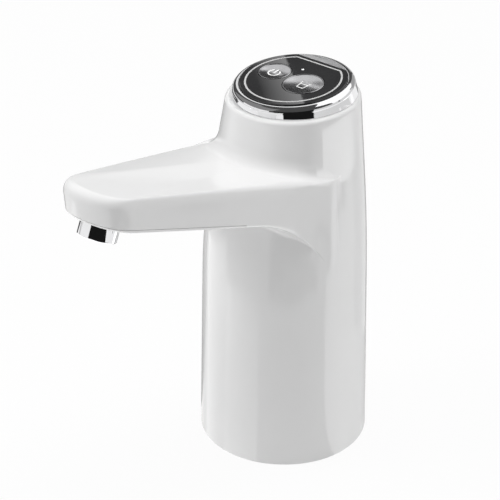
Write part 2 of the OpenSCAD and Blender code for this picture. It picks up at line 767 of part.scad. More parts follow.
module nozzle() {
    color("silver") difference() {
        union() {
            difference() {
                on_nozzle() rotate_extrude() polygon([
                    [0, 0], [nozzle_r - rim_bevel, 0], [nozzle_r, rim_bevel],
                    [nozzle_r, 2 * boss_s], [0, 2 * boss_s]]);
                on_underside() translate([-spout_half, -cover_run, -fit_gap])
                    cube([2 * spout_half, 2 * cover_run, 6 * boss_s]);
            }
            on_nozzle() translate([0, 0, neck_foot_s]) cylinder(r = neck_r, h = neck_top - neck_foot_s);
        }
        on_nozzle() translate([0, 0, -slip]) cylinder(r = cup_r, h = cup_depth + slip);
        on_nozzle() cylinder(r = neck_bore_r, h = 3 * boss_s);
    }
}
module nozzle_nut() {
    color("dimgray") on_nozzle() translate([0, 0, boss_s + fit_gap]) difference() {
        cylinder(r = nut_r, h = nut_t, $fn = 6);
        translate([0, 0, -slip]) cylinder(r = neck_r + fit_gap, h = nut_t + 2 * slip);
    }
}
module nozzle_screen() {
    color("gainsboro") on_nozzle() translate([0, 0, screen_s]) difference() {
        cylinder(r = cup_r - fit_gap, h = screen_t);
        translate([0, 0, -slip]) cylinder(r = screen_hole_r, h = screen_t + 2 * slip);
        for (i = [0 : 5]) rotate([0, 0, 60 * i]) translate([cup_r * 0.58, 0, -slip])
            cylinder(r = screen_hole_r, h = screen_t + 2 * slip);
    }
}
module outlet_elbow() {
    color("gainsboro") on_nozzle() difference() {
        union() {
            translate([0, 0, elbow_foot_s]) cylinder(r = neck_bore_r - fit_gap, h = elbow_s - elbow_foot_s);
            translate([0, 0, neck_top + fit_gap]) cylinder(r = elbow_r, h = elbow_top_s - neck_top - fit_gap);
            translate([0, 0, elbow_s]) rotate([elbow_turn - 90, 0, 0])
                cylinder(r = tube_bore_r - fit_gap, h = barb_l);
        }
        translate([0, 0, elbow_foot_s - slip])
            cylinder(r = elbow_bore_r, h = elbow_s + water_r - elbow_foot_s);
        translate([0, 0, elbow_s]) rotate([elbow_turn - 90, 0, 0]) cylinder(r = water_r, h = barb_l + slip);
    }
}
module outlet_tube() {
    color("whitesmoke") swept_tube([for (p = tube_route) [0, -p[0], p[1]]], tube_r, tube_bore_r, 12);
}

// Key panel
module top_ring() {
    steps = 8;
    lip_in = panel_r + panel_gap;
    ledge_low = -panel_t - ledge_t;
    skirt_in = skirt_r - skirt_t;
    skirt_low = -ring_h - skirt_l;
    foot_r = ring_r - ring_draft * (skirt_low + crest_drop);
    profile = concat(
        [[lip_in, lip_h], [lip_in, -panel_t], [ledge_r, -panel_t], [ledge_r, ledge_low],
            [skirt_in, ledge_low], [skirt_in, skirt_low], [foot_r, skirt_low], [ring_r, -crest_drop]],
        [for (i = [1 : steps]) let (q = 90 * i / steps)
            [crest_r + (ring_r - crest_r) * cos(q), -crest_drop + (crest_drop + lip_h) * sin(q)]]);
    color("silver") {
        difference() {
            on_panel() rotate_extrude() polygon(profile);
            // slanting seat on the body's rim, all round the skirt
            difference() {
                on_rim() translate([0, 0, seat_gap - 2 * ring_h]) cylinder(r = 2 * ring_r, h = 2 * ring_h);
                on_panel() translate([0, 0, skirt_low - slip]) cylinder(r = skirt_r, h = -skirt_low);
            }
        }
        on_panel() {
            // the bright segment behind the panel's straight edge
            translate([0, 0, ledge_low]) intersection() {
                cylinder(r = lip_in + lip_overlap, h = panel_t + ledge_t);
                translate([-panel_r, panel_flat + panel_gap, 0])
                    cube([2 * panel_r, panel_r, panel_t + ledge_t]);
            }
            // posts that carry the control board
            for (a = post_angles) rotate([0, 0, a]) translate([post_at, 0, board_top]) difference() {
                cylinder(r = post_r, h = ledge_low - board_top + slip);
                translate([0, 0, -slip]) cylinder(r = board_screw_r, h = board_screw_l);
            }
        }
    }
}
module control_panel() {
    color("black") on_panel() difference() {
        translate([0, 0, -panel_t]) cylinder(r = panel_r, h = panel_t);
        translate([-panel_r, panel_flat, -panel_t - slip]) cube([2 * panel_r, panel_r, panel_t + 2 * slip]);
        panel_hole(power_at, power_cap_r + key_gap);
        panel_hole(dose_at, dose_cap_r + key_gap);
        panel_hole(light_at, lens_r + fit_gap);
    }
}
module panel_hole(place, r) {
    translate([place[0], place[1], -panel_t - slip]) cylinder(r = r, h = panel_t + 2 * slip);
}
// A key: dished cap with a round rim, flange under the panel and a stem down to its switch
module key(r) {
    steps = 8;
    rim_half = key_rim / 2;
    dish_r = r - key_rim;
    flange_z = -panel_t - flange_gap - flange_t;
    rim = [for (i = [0 : 4]) let (q = 45 * i)
        [r - rim_half + rim_half * cos(q), key_proud - rim_half + rim_half * sin(q)]];
    dish = [for (i = [1 : steps]) let (k = 1 - i / steps)
        [dish_r * k, key_proud - rim_half - key_dish * (1 - k * k)]];
    rotate_extrude() polygon(concat(
        [[0, plunger_top], [stem_r, plunger_top], [stem_r, flange_z], [r + flange_w, flange_z],
            [r + flange_w, flange_z + flange_t], [r, flange_z + flange_t]],
        rim, dish));
}
module power_key() {
    color("dimgray") on_panel() translate([power_at[0], power_at[1], 0]) key(power_cap_r);
}
module dose_key() {
    color("dimgray") on_panel() translate([dose_at[0], dose_at[1], 0]) key(dose_cap_r);
}
module status_lens() {
    rod_low = board_top + led_h + flange_gap;
    color("white") on_panel() translate([light_at[0], light_at[1], 0]) {
        translate([0, 0, -panel_t - flange_gap - slip]) cylinder(r = lens_r, h = panel_t + flange_gap + slip);
        translate([0, 0, rod_low]) cylinder(r = lens_rod_r, h = -panel_t - flange_gap - rod_low);
    }
}
module control_board() {
    color("darkgreen") on_panel() translate([0, 0, board_top - board_t]) difference() {
        cylinder(r = board_r, h = board_t);
        for (a = post_angles) rotate([0, 0, a]) translate([post_at, 0, -slip])
            cylinder(r = board_screw_r + fit_gap, h = board_t + 2 * slip);
    }
}
module board_chips() {
    color("black") on_panel() {
        // controller and lead sockets below the board
        translate([chip_at[0], chip_at[1], board_top - board_t - chip_h]) cube([chip_w, chip_l, chip_h]);
        for (p = [motor_plug_at, supply_plug_at])
            translate([p[0] - plug_w / 2, p[1] - plug_w / 2, board_top - board_t - plug_h])
                cube([plug_w, plug_w, plug_h]);
        // light emitter under the status lens
        translate([light_at[0] - led_h, light_at[1] - led_h / 2, board_top]) cube([2 * led_h, led_h, led_h]);
    }
}
module board_screws() {
    color("silver") on_panel() for (a = post_angles) rotate([0, 0, a])
        translate([post_at, 0, board_top - board_t]) rotate([180, 0, 0])
            screw(2 * board_screw_r, board_t, board_screw_r - fit_gap, board_t + board_screw_l - 2 * fit_gap);
}
module key_switches() {
    color("gray") on_panel() for (p = [power_at, dose_at])
        translate([p[0], p[1], board_top]) difference() {
            translate([-switch_w / 2, -switch_w / 2, 0]) cube([switch_w, switch_w, switch_h]);
            translate([0, 0, switch_h - plunger_sink - key_travel - flange_gap])
                cylinder(r = plunger_r + fit_gap, h = plunger_sink + key_travel + flange_gap + slip);
        }
}
module plunger() {
    translate([0, 0, board_top + switch_h - plunger_sink])
        cylinder(r = plunger_r, h = plunger_h + plunger_sink);
}
module power_plunger() {
    color("black") on_panel() translate([power_at[0], power_at[1], 0]) plunger();
}
module dose_plunger() {
    color("black") on_panel() translate([dose_at[0], dose_at[1], 0]) plunger();
}

// Bottle socket and deck
module bottle_collar() {
    color("white") difference() {
        union() {
            cylinder(r1 = collar_r(0), r2 = collar_r(deck_z), h = deck_z);
            for (p = pump_posts) translate([p[0], p[1], deck_z - slip])
                cylinder(r = post_wide_r, h = pump_lift + slip);
        }
        translate([0, 0, -slip]) cylinder(r = socket_r, h = socket_depth + 2 * slip);
        translate([0, 0, grip_l]) cylinder(r = socket_r + bead_relief, h = socket_depth - grip_l + slip);
        translate([0, 0, socket_depth]) cylinder(r = socket_r + seal_bite, h = seal_t + fit_gap);
        translate([0, 0, socket_depth]) cylinder(r = hose_stub_r + stub_step + fit_gap, h = deck_z);
        for (p = pump_posts) translate([p[0], p[1], 0]) {
            cylinder(r = pump_screw_r + screw_gap, h = deck_z + pump_lift + slip);
            translate([0, 0, socket_depth])
                cylinder(r = pump_head_r + screw_gap, h = screw_seat_z - socket_depth);
        }
        for (p = holder_ears) translate([p[0], p[1], deck_z - holder_bite])
            cylinder(r = holder_screw_r + fit_gap, h = holder_bite + slip);
    }
}
module neck_seal() {
    color("lightgray") translate([0, 0, socket_depth])
        tube(socket_r + seal_bite - fit_gap, socket_r - seal_w, seal_t);
}
module inlet_barb() {
    color("gainsboro") difference() {
        union() {
            translate([0, 0, deck_low - hose_stub_l]) cylinder(r = hose_stub_r, h = hose_stub_l + deck_t);
            translate([0, 0, deck_low]) cylinder(r = hose_stub_r + stub_step, h = deck_t + slip);
            translate([0, 0, deck_z]) cylinder(r = barb_flange_r, h = barb_flange_t);
            translate([0, 0, deck_z + barb_flange_t - slip]) cylinder(r = inlet_r, h = inlet_stub_l + slip);
        }
        translate([0, 0, deck_low - hose_stub_l - slip]) cylinder(r = inlet_bore_r, h = deck_z + hose_stub_l);
    }
}
module inlet_tube() {
    tube_foot = deck_z + barb_flange_t + fit_gap;
    color("whitesmoke") translate([0, 0, tube_foot])
        tube(inlet_r + inlet_tube_t, inlet_r + fit_gap, cover_z - tube_foot - fit_gap);
}
module pump_screws() {
    color("silver") for (p = pump_posts) translate([p[0], p[1], screw_seat_z]) rotate([180, 0, 0])
        screw(pump_head_r, pump_head_h, pump_screw_r, plate_z + screw_bite - screw_seat_z);
}

// Gear pump
module pump_plan() {
    translate([-pump_half_w, pump_front]) square([2 * pump_half_w, pump_back - pump_front]);
    translate([-outlet_half_w, -outlet_u - outlet_half_w])
        square([2 * outlet_half_w, outlet_u + outlet_half_w + pump_front + 1]);
}
module pump_cover() {
    color("dimgray") difference() {
        union() {
            translate([0, 0, cover_z]) linear_extrude(pump_cover_t) pump_plan();
            translate([0, 0, cover_z - inlet_stub_l]) cylinder(r = inlet_r, h = inlet_stub_l + slip);
        }
        translate([0, 0, cover_z - inlet_stub_l - slip])
            cylinder(r = inlet_bore_r, h = inlet_stub_l + pump_cover_t + 2 * slip);
        translate([idler_at[0], idler_at[1], body_z - gasket_t - pin_bite])
            cylinder(r = pin_r + press_gap, h = pin_bite + slip);
        pump_screw_holes(cover_z, pump_cover_t, screw_gap);
    }
}
module pump_screw_holes(z, h, gap) {
    for (p = pump_posts) translate([p[0], p[1], z - slip]) cylinder(r = pump_screw_r + gap, h = h + 2 * slip);
}
module chamber(h) {
    for (p = [drive_at, idler_at]) translate([p[0], p[1], 0]) cylinder(r = gear_tip_r + chamber_gap, h = h);
    for (s = [-1, 1]) translate([0, drive_at[1] + s * port_reach, 0]) cylinder(r = port_r, h = h);
}
module cover_gasket() {
    color("black") translate([0, 0, body_z - gasket_t]) difference() {
        linear_extrude(gasket_t) pump_plan();
        translate([0, 0, -slip]) chamber(gasket_t + 2 * slip);
        pump_screw_holes(0, gasket_t, screw_gap);
    }
}
module pump_body() {
    color("dimgray") difference() {
        translate([0, 0, body_z]) linear_extrude(plate_z - body_z) pump_plan();
        translate([0, 0, body_z - slip]) chamber(plate_z - body_z + 2 * slip);
        // outlet passage
        translate([0, drive_at[1] - port_reach, passage_z]) rotate([90, 0, 0])
            cylinder(r = water_r, h = outlet_u + drive_at[1] - port_reach);
        translate([0, -outlet_u, passage_z]) cylinder(r = water_r, h = plate_z);
        pump_screw_holes(body_z, plate_z - body_z, screw_gap);
    }
}
module motor_plate() {
    color("dimgray") difference() {
        union() {
            translate([0, 0, plate_z]) linear_extrude(plate_t) pump_plan();
            translate([0, -outlet_u, motor_z - slip])
                cylinder(r = tube_bore_r - fit_gap, h = outlet_stub_l + slip);
        }
        // shaft passage, seal pocket and the motor's nose
        translate([drive_at[0], drive_at[1], 0]) {
            translate([0, 0, plate_z - slip]) cylinder(r = shaft_r + screw_gap, h = plate_t);
            translate([0, 0, motor_z - nose_l - seal_h]) cylinder(r = seal_r + press_gap, h = seal_h + slip);
            translate([0, 0, motor_z - nose_l]) cylinder(r = nose_r + fit_gap, h = nose_l + slip);
        }
        translate([0, -outlet_u, plate_z - slip])
            cylinder(r = water_r, h = plate_t + outlet_stub_l + 3 * slip);
        translate([idler_at[0], idler_at[1], plate_z - slip])
            cylinder(r = pin_r + press_gap, h = pin_bite + slip);
        pump_screw_holes(plate_z, screw_bite + fit_gap, press_gap);
        for (p = motor_screw_at) translate([p[0], p[1], plate_z - slip]) {
            cylinder(r = motor_screw_r + fit_gap, h = plate_t + 2 * slip);
            cylinder(r1 = motor_head_r + fit_gap, r2 = motor_screw_r + fit_gap, h = motor_head_h + slip);
        }
    }
}
// Involute gear outline
function half_tooth(r) =
    let (base = gear_pitch_r * cos(pressure_angle), q = acos(min(base / max(r, base), 1)), deg = 180 / PI)
    90 / gear_teeth - backlash_angle + (tan(pressure_angle) * deg - pressure_angle) - (tan(q) * deg - q);
module gear_plan() {
    steps = 6;
    flank = [for (i = [0 : steps]) gear_root_r + (gear_tip_r - gear_root_r) * i / steps];
    tooth = concat(
        [for (r = flank) [r, -half_tooth(r)]],
        [for (i = [steps : -1 : 0]) [flank[i], half_tooth(flank[i])]]);
    polygon([for (k = [0 : gear_teeth - 1]) let (c = 360 * k / gear_teeth)
        for (e = tooth) [e[0] * cos(c + e[1]), e[0] * sin(c + e[1])]]);
}
module drive_gear() {
    color("ivory") translate([drive_at[0], drive_at[1], body_z + face_gap]) difference() {
        linear_extrude(gear_w) gear_plan();
        translate([0, 0, -slip]) cylinder(r = shaft_r + press_gap, h = gear_w + 2 * slip);
    }
}
module idler_gear() {
    color("ivory") translate([idler_at[0], idler_at[1], body_z + face_gap])
        rotate([0, 0, 180 + 180 / gear_teeth]) difference() {
            linear_extrude(gear_w) gear_plan();
            translate([0, 0, -slip]) cylinder(r = pin_r + fit_gap, h = gear_w + 2 * slip);
        }
}
module idler_pin() {
    pin_low = body_z - gasket_t - pin_bite + press_gap;
    color("silver") translate([idler_at[0], idler_at[1], pin_low])
        cylinder(r = pin_r, h = plate_z + pin_bite - press_gap - pin_low);
}
module shaft_seal() {
    color("black") translate([drive_at[0], drive_at[1], motor_z - nose_l - seal_h])
        tube(seal_r, shaft_r + fit_gap, seal_h - fit_gap);
}

// Motor
module motor_screws() {
    color("silver") for (p = motor_screw_at) translate([p[0], p[1], plate_z + fit_gap]) {
        cylinder(r1 = motor_head_r, r2 = motor_screw_r, h = motor_head_h);
        cylinder(r = motor_screw_r, h = plate_t + 2 * can_t);
    }
}
module motor_can() {
    color("silver") translate([drive_at[0], drive_at[1], motor_z]) difference() {
        union() {
            cylinder(r = motor_r, h = motor_l);
            translate([0, 0, -nose_l + fit_gap]) cylinder(r = nose_r, h = nose_l);
        }
        translate([0, 0, can_t]) cylinder(r = motor_r - can_t, h = motor_l);
        translate([0, 0, -nose_l]) cylinder(r = bush_r + press_gap, h = 2 * nose_l + can_t);
        for (p = motor_screw_at) translate([p[0] - drive_at[0], p[1] - drive_at[1], -slip])
            cylinder(r = motor_screw_r + press_gap, h = can_t + 2 * slip);
    }
}
module motor_magnets() {
    color("gray") translate([drive_at[0], drive_at[1], magnet_z]) difference() {
        cylinder(r = motor_r - can_t - press_gap, h = magnet_l);
        translate([0, 0, -slip]) cylinder(r = core_r + air_gap, h = magnet_l + 2 * slip);
        for (s = [-1, 1]) translate([-motor_r, s * motor_r - motor_r * 0.5, -slip])
            cube([2 * motor_r, motor_r, magnet_l + 2 * slip]);
    }
}
module motor_bushes() {
    color("goldenrod") translate([drive_at[0], drive_at[1], 0]) {
        translate([0, 0, motor_z - nose_l + 2 * fit_gap]) tube(bush_r, shaft_r + run_gap, nose_l + can_t);
        translate([0, 0, cap_z]) tube(bush_r, shaft_r + run_gap, cap_t + 1);
    }
}
module motor_shaft() {
    shaft_low = body_z + face_gap;
    color("silver") translate([drive_at[0], drive_at[1], shaft_low])
        cylinder(r = shaft_r, h = cap_z + cap_t - shaft_low);
}
module rotor_core() {
    color("darkgray") translate([drive_at[0], drive_at[1], magnet_z + 1]) difference() {
        cylinder(r = core_r, h = magnet_l - 2);
        translate([0, 0, -slip]) cylinder(r = shaft_r + press_gap, h = magnet_l);
        for (i = [0 : 2]) rotate([0, 0, 120 * i]) {
            translate([core_r - slot_l, -slot_w / 2, -slip]) cube([2 * slot_l, slot_w, magnet_l]);
            translate([core_r - slot_l - slot_r, 0, -slip]) cylinder(r = slot_r + slip, h = magnet_l);
        }
    }
}
module commutator() {
    comm_z = magnet_z + magnet_l;
    color("goldenrod") translate([drive_at[0], drive_at[1], comm_z])
        tube(comm_r, shaft_r + press_gap, cap_z - comm_z - comm_gap);
}
module motor_brushes() {
    brush_l = motor_r - can_t - 1 - comm_r;
    color("black") translate([drive_at[0], drive_at[1], cap_z - brush_h]) for (a = [0, 180])
        rotate([0, 0, a]) translate([comm_r + fit_gap, -brush_w / 2, 0]) cube([brush_l, brush_w, brush_h]);
}
module motor_end_cap() {
    color("white") translate([drive_at[0], drive_at[1], cap_z]) difference() {
        union() {
            cylinder(r = motor_r - can_t - press_gap, h = cap_t);
            for (s = [-1, 1]) translate([s * terminal_x - terminal_w / 2, -terminal_t / 2, cap_t - slip])
                cube([terminal_w, terminal_t, terminal_h]);
        }
        translate([0, 0, -slip]) cylinder(r = bush_r + press_gap, h = cap_t + 2 * slip);
    }
}

// Power supply
module battery_holder() {
    floor_top = deck_z + holder_floor;
    color("gainsboro") difference() {
        union() {
            translate([0, cell_y, deck_z]) cylinder(r = holder_r, h = shelf_z - deck_z + slip);
            translate([-shelf_half_w, shelf_front, shelf_z]) cube([2 * shelf_half_w, shelf_l, shelf_t]);
            for (p = holder_ears) translate([p[0], p[1], deck_z]) cylinder(r = ear_r, h = holder_floor);
        }
        translate([0, cell_y, floor_top]) cylinder(r = cell_r + cell_gap, h = shelf_z - floor_top);
        translate([-holder_mouth / 2, cell_y - 2 * holder_r, floor_top])
            cube([holder_mouth, 2 * holder_r, shelf_z - floor_top]);
        translate([0, 0, deck_z - slip]) cylinder(r = barb_flange_r + cell_gap, h = holder_floor + 2 * slip);
        for (p = holder_ears) translate([p[0], p[1], deck_z - slip])
            cylinder(r = holder_screw_r + screw_gap, h = holder_floor + 2 * slip);
    }
}
module holder_screws() {
    color("silver") for (p = holder_ears) translate([p[0], p[1], deck_z + holder_floor])
        screw(2 * holder_screw_r, holder_head_h, holder_screw_r, holder_floor + holder_bite - screw_gap);
}
module battery_cell() {
    color("royalblue") translate([0, cell_y, cell_z]) {
        cylinder(r = cell_r, h = cell_l);
        translate([0, 0, cell_l - slip]) cylinder(r = cap_nub_r, h = cap_nub_h + slip);
    }
}
module battery_tabs() {
    color("silver") {
        translate([-tab_w / 2, tab_front, cell_z - tab_t]) cube([tab_w, cell_y - tab_front, tab_t]);
        translate([-tab_w / 2, cell_y - top_tab_l, cell_z + cell_l + cap_nub_h])
            cube([tab_w, top_tab_l, tab_t]);
    }
}
module charge_board() {
    color("darkgreen") translate([-charge_half_w, charge_front, shelf_z + shelf_t])
        cube([2 * charge_half_w, charge_back - charge_front, board_t]);
}
module charge_socket() {
    mouth_l = socket_l - socket_floor;
    color("silver") translate([0, socket_back + socket_l, port_z]) difference() {
        round_bar(plug_shell_w, plug_shell_h, socket_l);
        difference() {
            translate([0, slip, 0])
                round_bar(plug_shell_w - 2 * sheet_t, plug_shell_h - 2 * sheet_t, mouth_l + slip);
            translate([-tongue_w / 2, -socket_l, -tongue_t / 2]) cube([tongue_w, mouth_l, tongue_t]);
        }
    }
}
module battery_leads() {
    color("red") swept_wire(smooth(plus_route, 3), lead_r, 8);
    color("black") swept_wire(smooth(minus_route, 3), lead_r, 8);
}
module motor_leads() {
    for (s = [-1, 1]) color(s < 0 ? "red" : "black") swept_wire(smooth(motor_route(s), 3), lead_r, 8);
}
module board_leads() {
    for (s = [-1, 1]) color(s < 0 ? "red" : "black") swept_wire(smooth(supply_route(s), 3), lead_r, 8);
}

housing_shell();
spout_cover();
nozzle();
nozzle_nut();
nozzle_screen();
outlet_elbow();
outlet_tube();
top_ring();
control_panel();
power_key();
dose_key();
status_lens();
control_board();
board_chips();
board_screws();
key_switches();
power_plunger();
dose_plunger();
bottle_collar();
neck_seal();
inlet_barb();
inlet_tube();
pump_screws();
pump_cover();
cover_gasket();
pump_body();
motor_plate();
drive_gear();
idler_gear();
idler_pin();
shaft_seal();
motor_screws();
motor_can();
motor_magnets();
motor_bushes();
motor_shaft();
rotor_core();
commutator();
motor_brushes();
motor_end_cap();
battery_holder();
holder_screws();
battery_cell();
battery_tabs();
charge_board();
charge_socket();
battery_leads();
motor_leads();
board_leads();
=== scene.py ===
import math
import bmesh
import bpy
from mathutils import Matrix, Vector


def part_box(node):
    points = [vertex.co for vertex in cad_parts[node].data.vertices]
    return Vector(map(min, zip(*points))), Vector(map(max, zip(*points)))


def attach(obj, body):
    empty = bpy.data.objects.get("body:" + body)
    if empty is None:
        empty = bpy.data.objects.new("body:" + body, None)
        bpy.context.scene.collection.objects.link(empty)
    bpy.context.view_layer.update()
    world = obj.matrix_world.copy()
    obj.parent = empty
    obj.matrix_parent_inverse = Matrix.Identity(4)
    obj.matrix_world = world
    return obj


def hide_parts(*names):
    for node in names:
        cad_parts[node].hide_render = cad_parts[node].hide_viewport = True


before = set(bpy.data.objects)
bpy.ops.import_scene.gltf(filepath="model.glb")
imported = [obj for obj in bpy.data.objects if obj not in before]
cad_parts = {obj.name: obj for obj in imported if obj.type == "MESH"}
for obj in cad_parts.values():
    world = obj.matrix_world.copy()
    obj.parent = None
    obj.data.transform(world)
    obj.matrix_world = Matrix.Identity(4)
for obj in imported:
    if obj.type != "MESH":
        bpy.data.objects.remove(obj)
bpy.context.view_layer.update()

# Bottle collar
# The white collar that slides over the bottle's neck, with the deck and the posts
# that carry the pump. Injection moulded in one piece and pressed into the foot.
NOISE_SPAN = (0.3, 0.7)


def set_inputs(node, values):
    for socket, value in (values or {}).items():
        node.inputs[socket].default_value = value


def add_node(tree, kind, values=None, operation=None):
    """A shader node with some of its inputs set."""
    node = tree.nodes.new("ShaderNode" + kind)
    if operation:
        node.operation = operation
    set_inputs(node, values)
    return node


def wire(source, output, target, socket):
    source.id_data.links.new(source.outputs[output], target.inputs[socket])


def noise_on(tree, scale, detail, stretch=(1, 1, 1)):
    place = add_node(tree, "TexCoord")
    sizing = add_node(tree, "Mapping", {"Scale": stretch})
    noise = add_node(tree, "TexNoise", {"Scale": scale, "Detail": detail})
    wire(place, "Object", sizing, "Vector")
    wire(sizing, "Vector", noise, "Vector")
    return noise


def spread(source, output, limits, results, target, socket):
    """Turns one range of values into another, held at its ends."""
    change = add_node(source.id_data, "MapRange", {
        "From Min": limits[0], "From Max": limits[1], "To Min": results[0], "To Max": results[1]})
    wire(source, output, change, "Value")
    wire(change, "Result", target, socket)


def surface(name, dark, light, cloud, rough, polish, grain=None, extra=None):
    """A finish with clouded colour, uneven gloss and, where grain is given, fine relief."""
    finish = bpy.data.materials.new(name)
    finish.use_nodes = True
    tree = finish.node_tree
    skin = tree.nodes["Principled BSDF"]
    colours = add_node(tree, "ValToRGB")
    for stop, position, colour in zip(colours.color_ramp.elements, NOISE_SPAN, (dark, light)):
        stop.position = position
        stop.color = (*colour, 1)
    wire(noise_on(tree, *cloud), "Fac", colours, "Fac")
    wire(colours, "Color", skin, "Base Color")
    spread(noise_on(tree, *polish), "Fac", NOISE_SPAN, rough, skin, "Roughness")
    if grain:
        relief, strength, depth = grain
        bump = add_node(tree, "Bump", {"Strength": strength, "Distance": depth})
        wire(noise_on(tree, *relief), "Fac", bump, "Height")
        wire(bump, "Normal", skin, "Normal")
    set_inputs(skin, extra)
    return finish


def grey(level, blue=0):
    return (level, level, level + blue)


def moulded(name, dark, light, roughness, grain, extra=None):
    """Moulded plastic: faintly clouded colour, uneven gloss and the mould's fine grain."""
    rough = (roughness - 0.04, roughness + 0.04)
    return surface(name, dark, light, (60, 3), rough, (420, 2), ((5200, 2), grain, 0.00002), extra)


NODE_SHARP = math.radians(28)


def dress(finish, *names):
    for name in names:
        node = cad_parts[name]
        node.data.materials.clear()
        node.data.materials.append(finish)
        node.data.shade_smooth()
        node.data.set_sharp_from_angle(angle=NODE_SHARP)


inner_white = moulded("inner_white", grey(0.74), grey(0.79), 0.42, 0.25)
dress(inner_white, "bottle_collar")

# Neck seal
# The soft ring under the deck that the bottle's lip presses against. Silicone rubber,
# cast with a low bead and sprung into a groove of the collar.
MM = 0.001
UPRIGHT = Matrix.Identity(4)
TURN_STEPS = 160
PIECE_SHARP = math.radians(32)


def turned(name, profile, place, finish, closed=True, steps=TURN_STEPS, meet=None):
    """A body turned about its own axis from [radius, height] points in millimetres.

    Where a height is None, meet gives it for each radius and angle.
    """
    shape = bmesh.new()
    rows = []
    for radius, height in profile:
        if radius < 1e-6:
            rows.append([shape.verts.new(place @ Vector((0, 0, height)) * MM)])
            continue
        row = []
        for k in range(steps):
            angle = 2 * math.pi * k / steps
            level = meet(radius, angle) if height is None else height
            spot = Vector((radius * math.cos(angle), radius * math.sin(angle), level))
            row.append(shape.verts.new(place @ spot * MM))
        rows.append(row)
    join_all(shape, rows, closed)
    return as_piece(name, shape, finish)


def join_rows(shape, low, high):
    count = max(len(low), len(high))
    for k in range(count):
        m = (k + 1) % count
        if len(low) == 1:
            shape.faces.new((low[0], high[m], high[k]))
        elif len(high) == 1:
            shape.faces.new((low[k], low[m], high[0]))
        else:
            shape.faces.new((low[k], low[m], high[m], high[k]))


def join_all(shape, rows, closed=False):
    """Faces between each row of points and the next; closed joins the last to the first."""
    for low, high in zip(rows, rows[1:]):
        join_rows(shape, low, high)
    if closed:
        join_rows(shape, rows[-1], rows[0])


def add_thing(name, data):
    thing = bpy.data.objects.new(name, data)
    bpy.context.scene.collection.objects.link(thing)
    return thing


def as_piece(name, shape, finish):
    bmesh.ops.recalc_face_normals(shape, faces=shape.faces[:])
    mesh = bpy.data.meshes.new(name)
    shape.to_mesh(mesh)
    shape.free()
    mesh.materials.append(finish)
    mesh.shade_smooth()
    mesh.set_sharp_from_angle(angle=PIECE_SHARP)
    return add_thing(name, mesh)


def arc(centre, radius, start, end, steps):
    """Points on part of a circle, angles in degrees, both ends included."""
    points = []
    for k in range(steps + 1):
        angle = math.radians(start + (end - start) * k / steps)
        points.append((centre[0] + radius * math.cos(angle), centre[1] + radius * math.sin(angle)))
    return points


def soft_ring(r_in, r_out, low, high, soft, steps, low_face):
    """Section of a ring with rounded edges, with points of its own on the lower face."""
    return (
        arc((r_in + soft, low + soft), soft, 180, 270, steps)
        + low_face
        + arc((r_out - soft, low + soft), soft, 270, 360, steps)
        + arc((r_out - soft, high - soft), soft, 0, 90, steps)
        + arc((r_in + soft, high - soft), soft, 90, 180, steps)
    )


def put(piece, body, slot, *replaced):
    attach(piece, body)
    if replaced:
        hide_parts(*replaced)
    return piece


def soft_rubber(name, dark, light, roughness, clearness):
    """Silicone or rubber: soft sheen, some light passing through, a dusting of fine pores."""
    rough = (roughness - 0.06, roughness + 0.06)
    inside = {"Subsurface Weight": clearness, "Subsurface Radius": grey(0.002), "Subsurface Scale": 1}
    return surface(name, dark, light, (90, 4), rough, (700, 3), ((2600, 3), 0.3, 0.00003), inside)


SOCKET_DEPTH = 26
SEAL_T = 2.2
SEAL_IN = 24
SEAL_OUT = 29.35
seal_edge = 0.4
bead_r = 0.45
bead_at = 1
groove_at = 3.2
groove_h = 0.15
seal_low = SOCKET_DEPTH
seal_face = (
    [(SEAL_IN + bead_at, seal_low)]
    + arc((SEAL_IN + bead_at + 2 * bead_r, seal_low + bead_r), bead_r, 250, 290, 3)
    + [(SEAL_IN + groove_at, seal_low + groove_h)]
)
seal_profile = soft_ring(SEAL_IN, SEAL_OUT, seal_low, seal_low + SEAL_T, seal_edge, 4, seal_face)
silicone = soft_rubber("silicone", (0.74, 0.75, 0.75), (0.82, 0.83, 0.83), 0.4, 0.35)
put(turned("neck_seal_ring", seal_profile, UPRIGHT, silicone), "root", "silicone", "neck_seal")

# Water inlet
# The stub in the middle of the deck takes the intake hose from below; a short hose
# leads on to the pump. The stub is natural plastic, the hose cut silicone tube.
clear_plastic = moulded("clear_white_plastic", (0.76, 0.78, 0.79), (0.84, 0.85, 0.86), 0.3, 0.15,
                        {"Transmission Weight": 0.25})
dress(clear_plastic, "inlet_barb")
hose_low, hose_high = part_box("inlet_tube")
hose_out = (hose_high.x - hose_low.x) / 2 / MM
hose_in = 4.05
hose_edge = 0.25
inlet_steps = 64
hose_profile = soft_ring(hose_in, hose_out, hose_low.z / MM, hose_high.z / MM, hose_edge, 3, [])
inlet_hose = turned("inlet_hose", hose_profile, UPRIGHT, silicone, steps=inlet_steps)
put(inlet_hose, "root", "silicone", "inlet_tube")

# Gear pump
# A flat pump of dark moulded plates screwed up against the deck's posts, with two
# acetal gears in the middle plate, a rubber gasket below and a shaft seal above.
def bare_metal(name, dark, light, roughness, stretch):
    """Metal with the fine parallel marks of its drawing, grinding or brushing."""
    marks = (900, 4, stretch)
    rough = (roughness - 0.05, roughness + 0.07)
    return surface(name, dark, light, marks, rough, marks, (marks, 0.12, 0.00001), {"Metallic": 1})


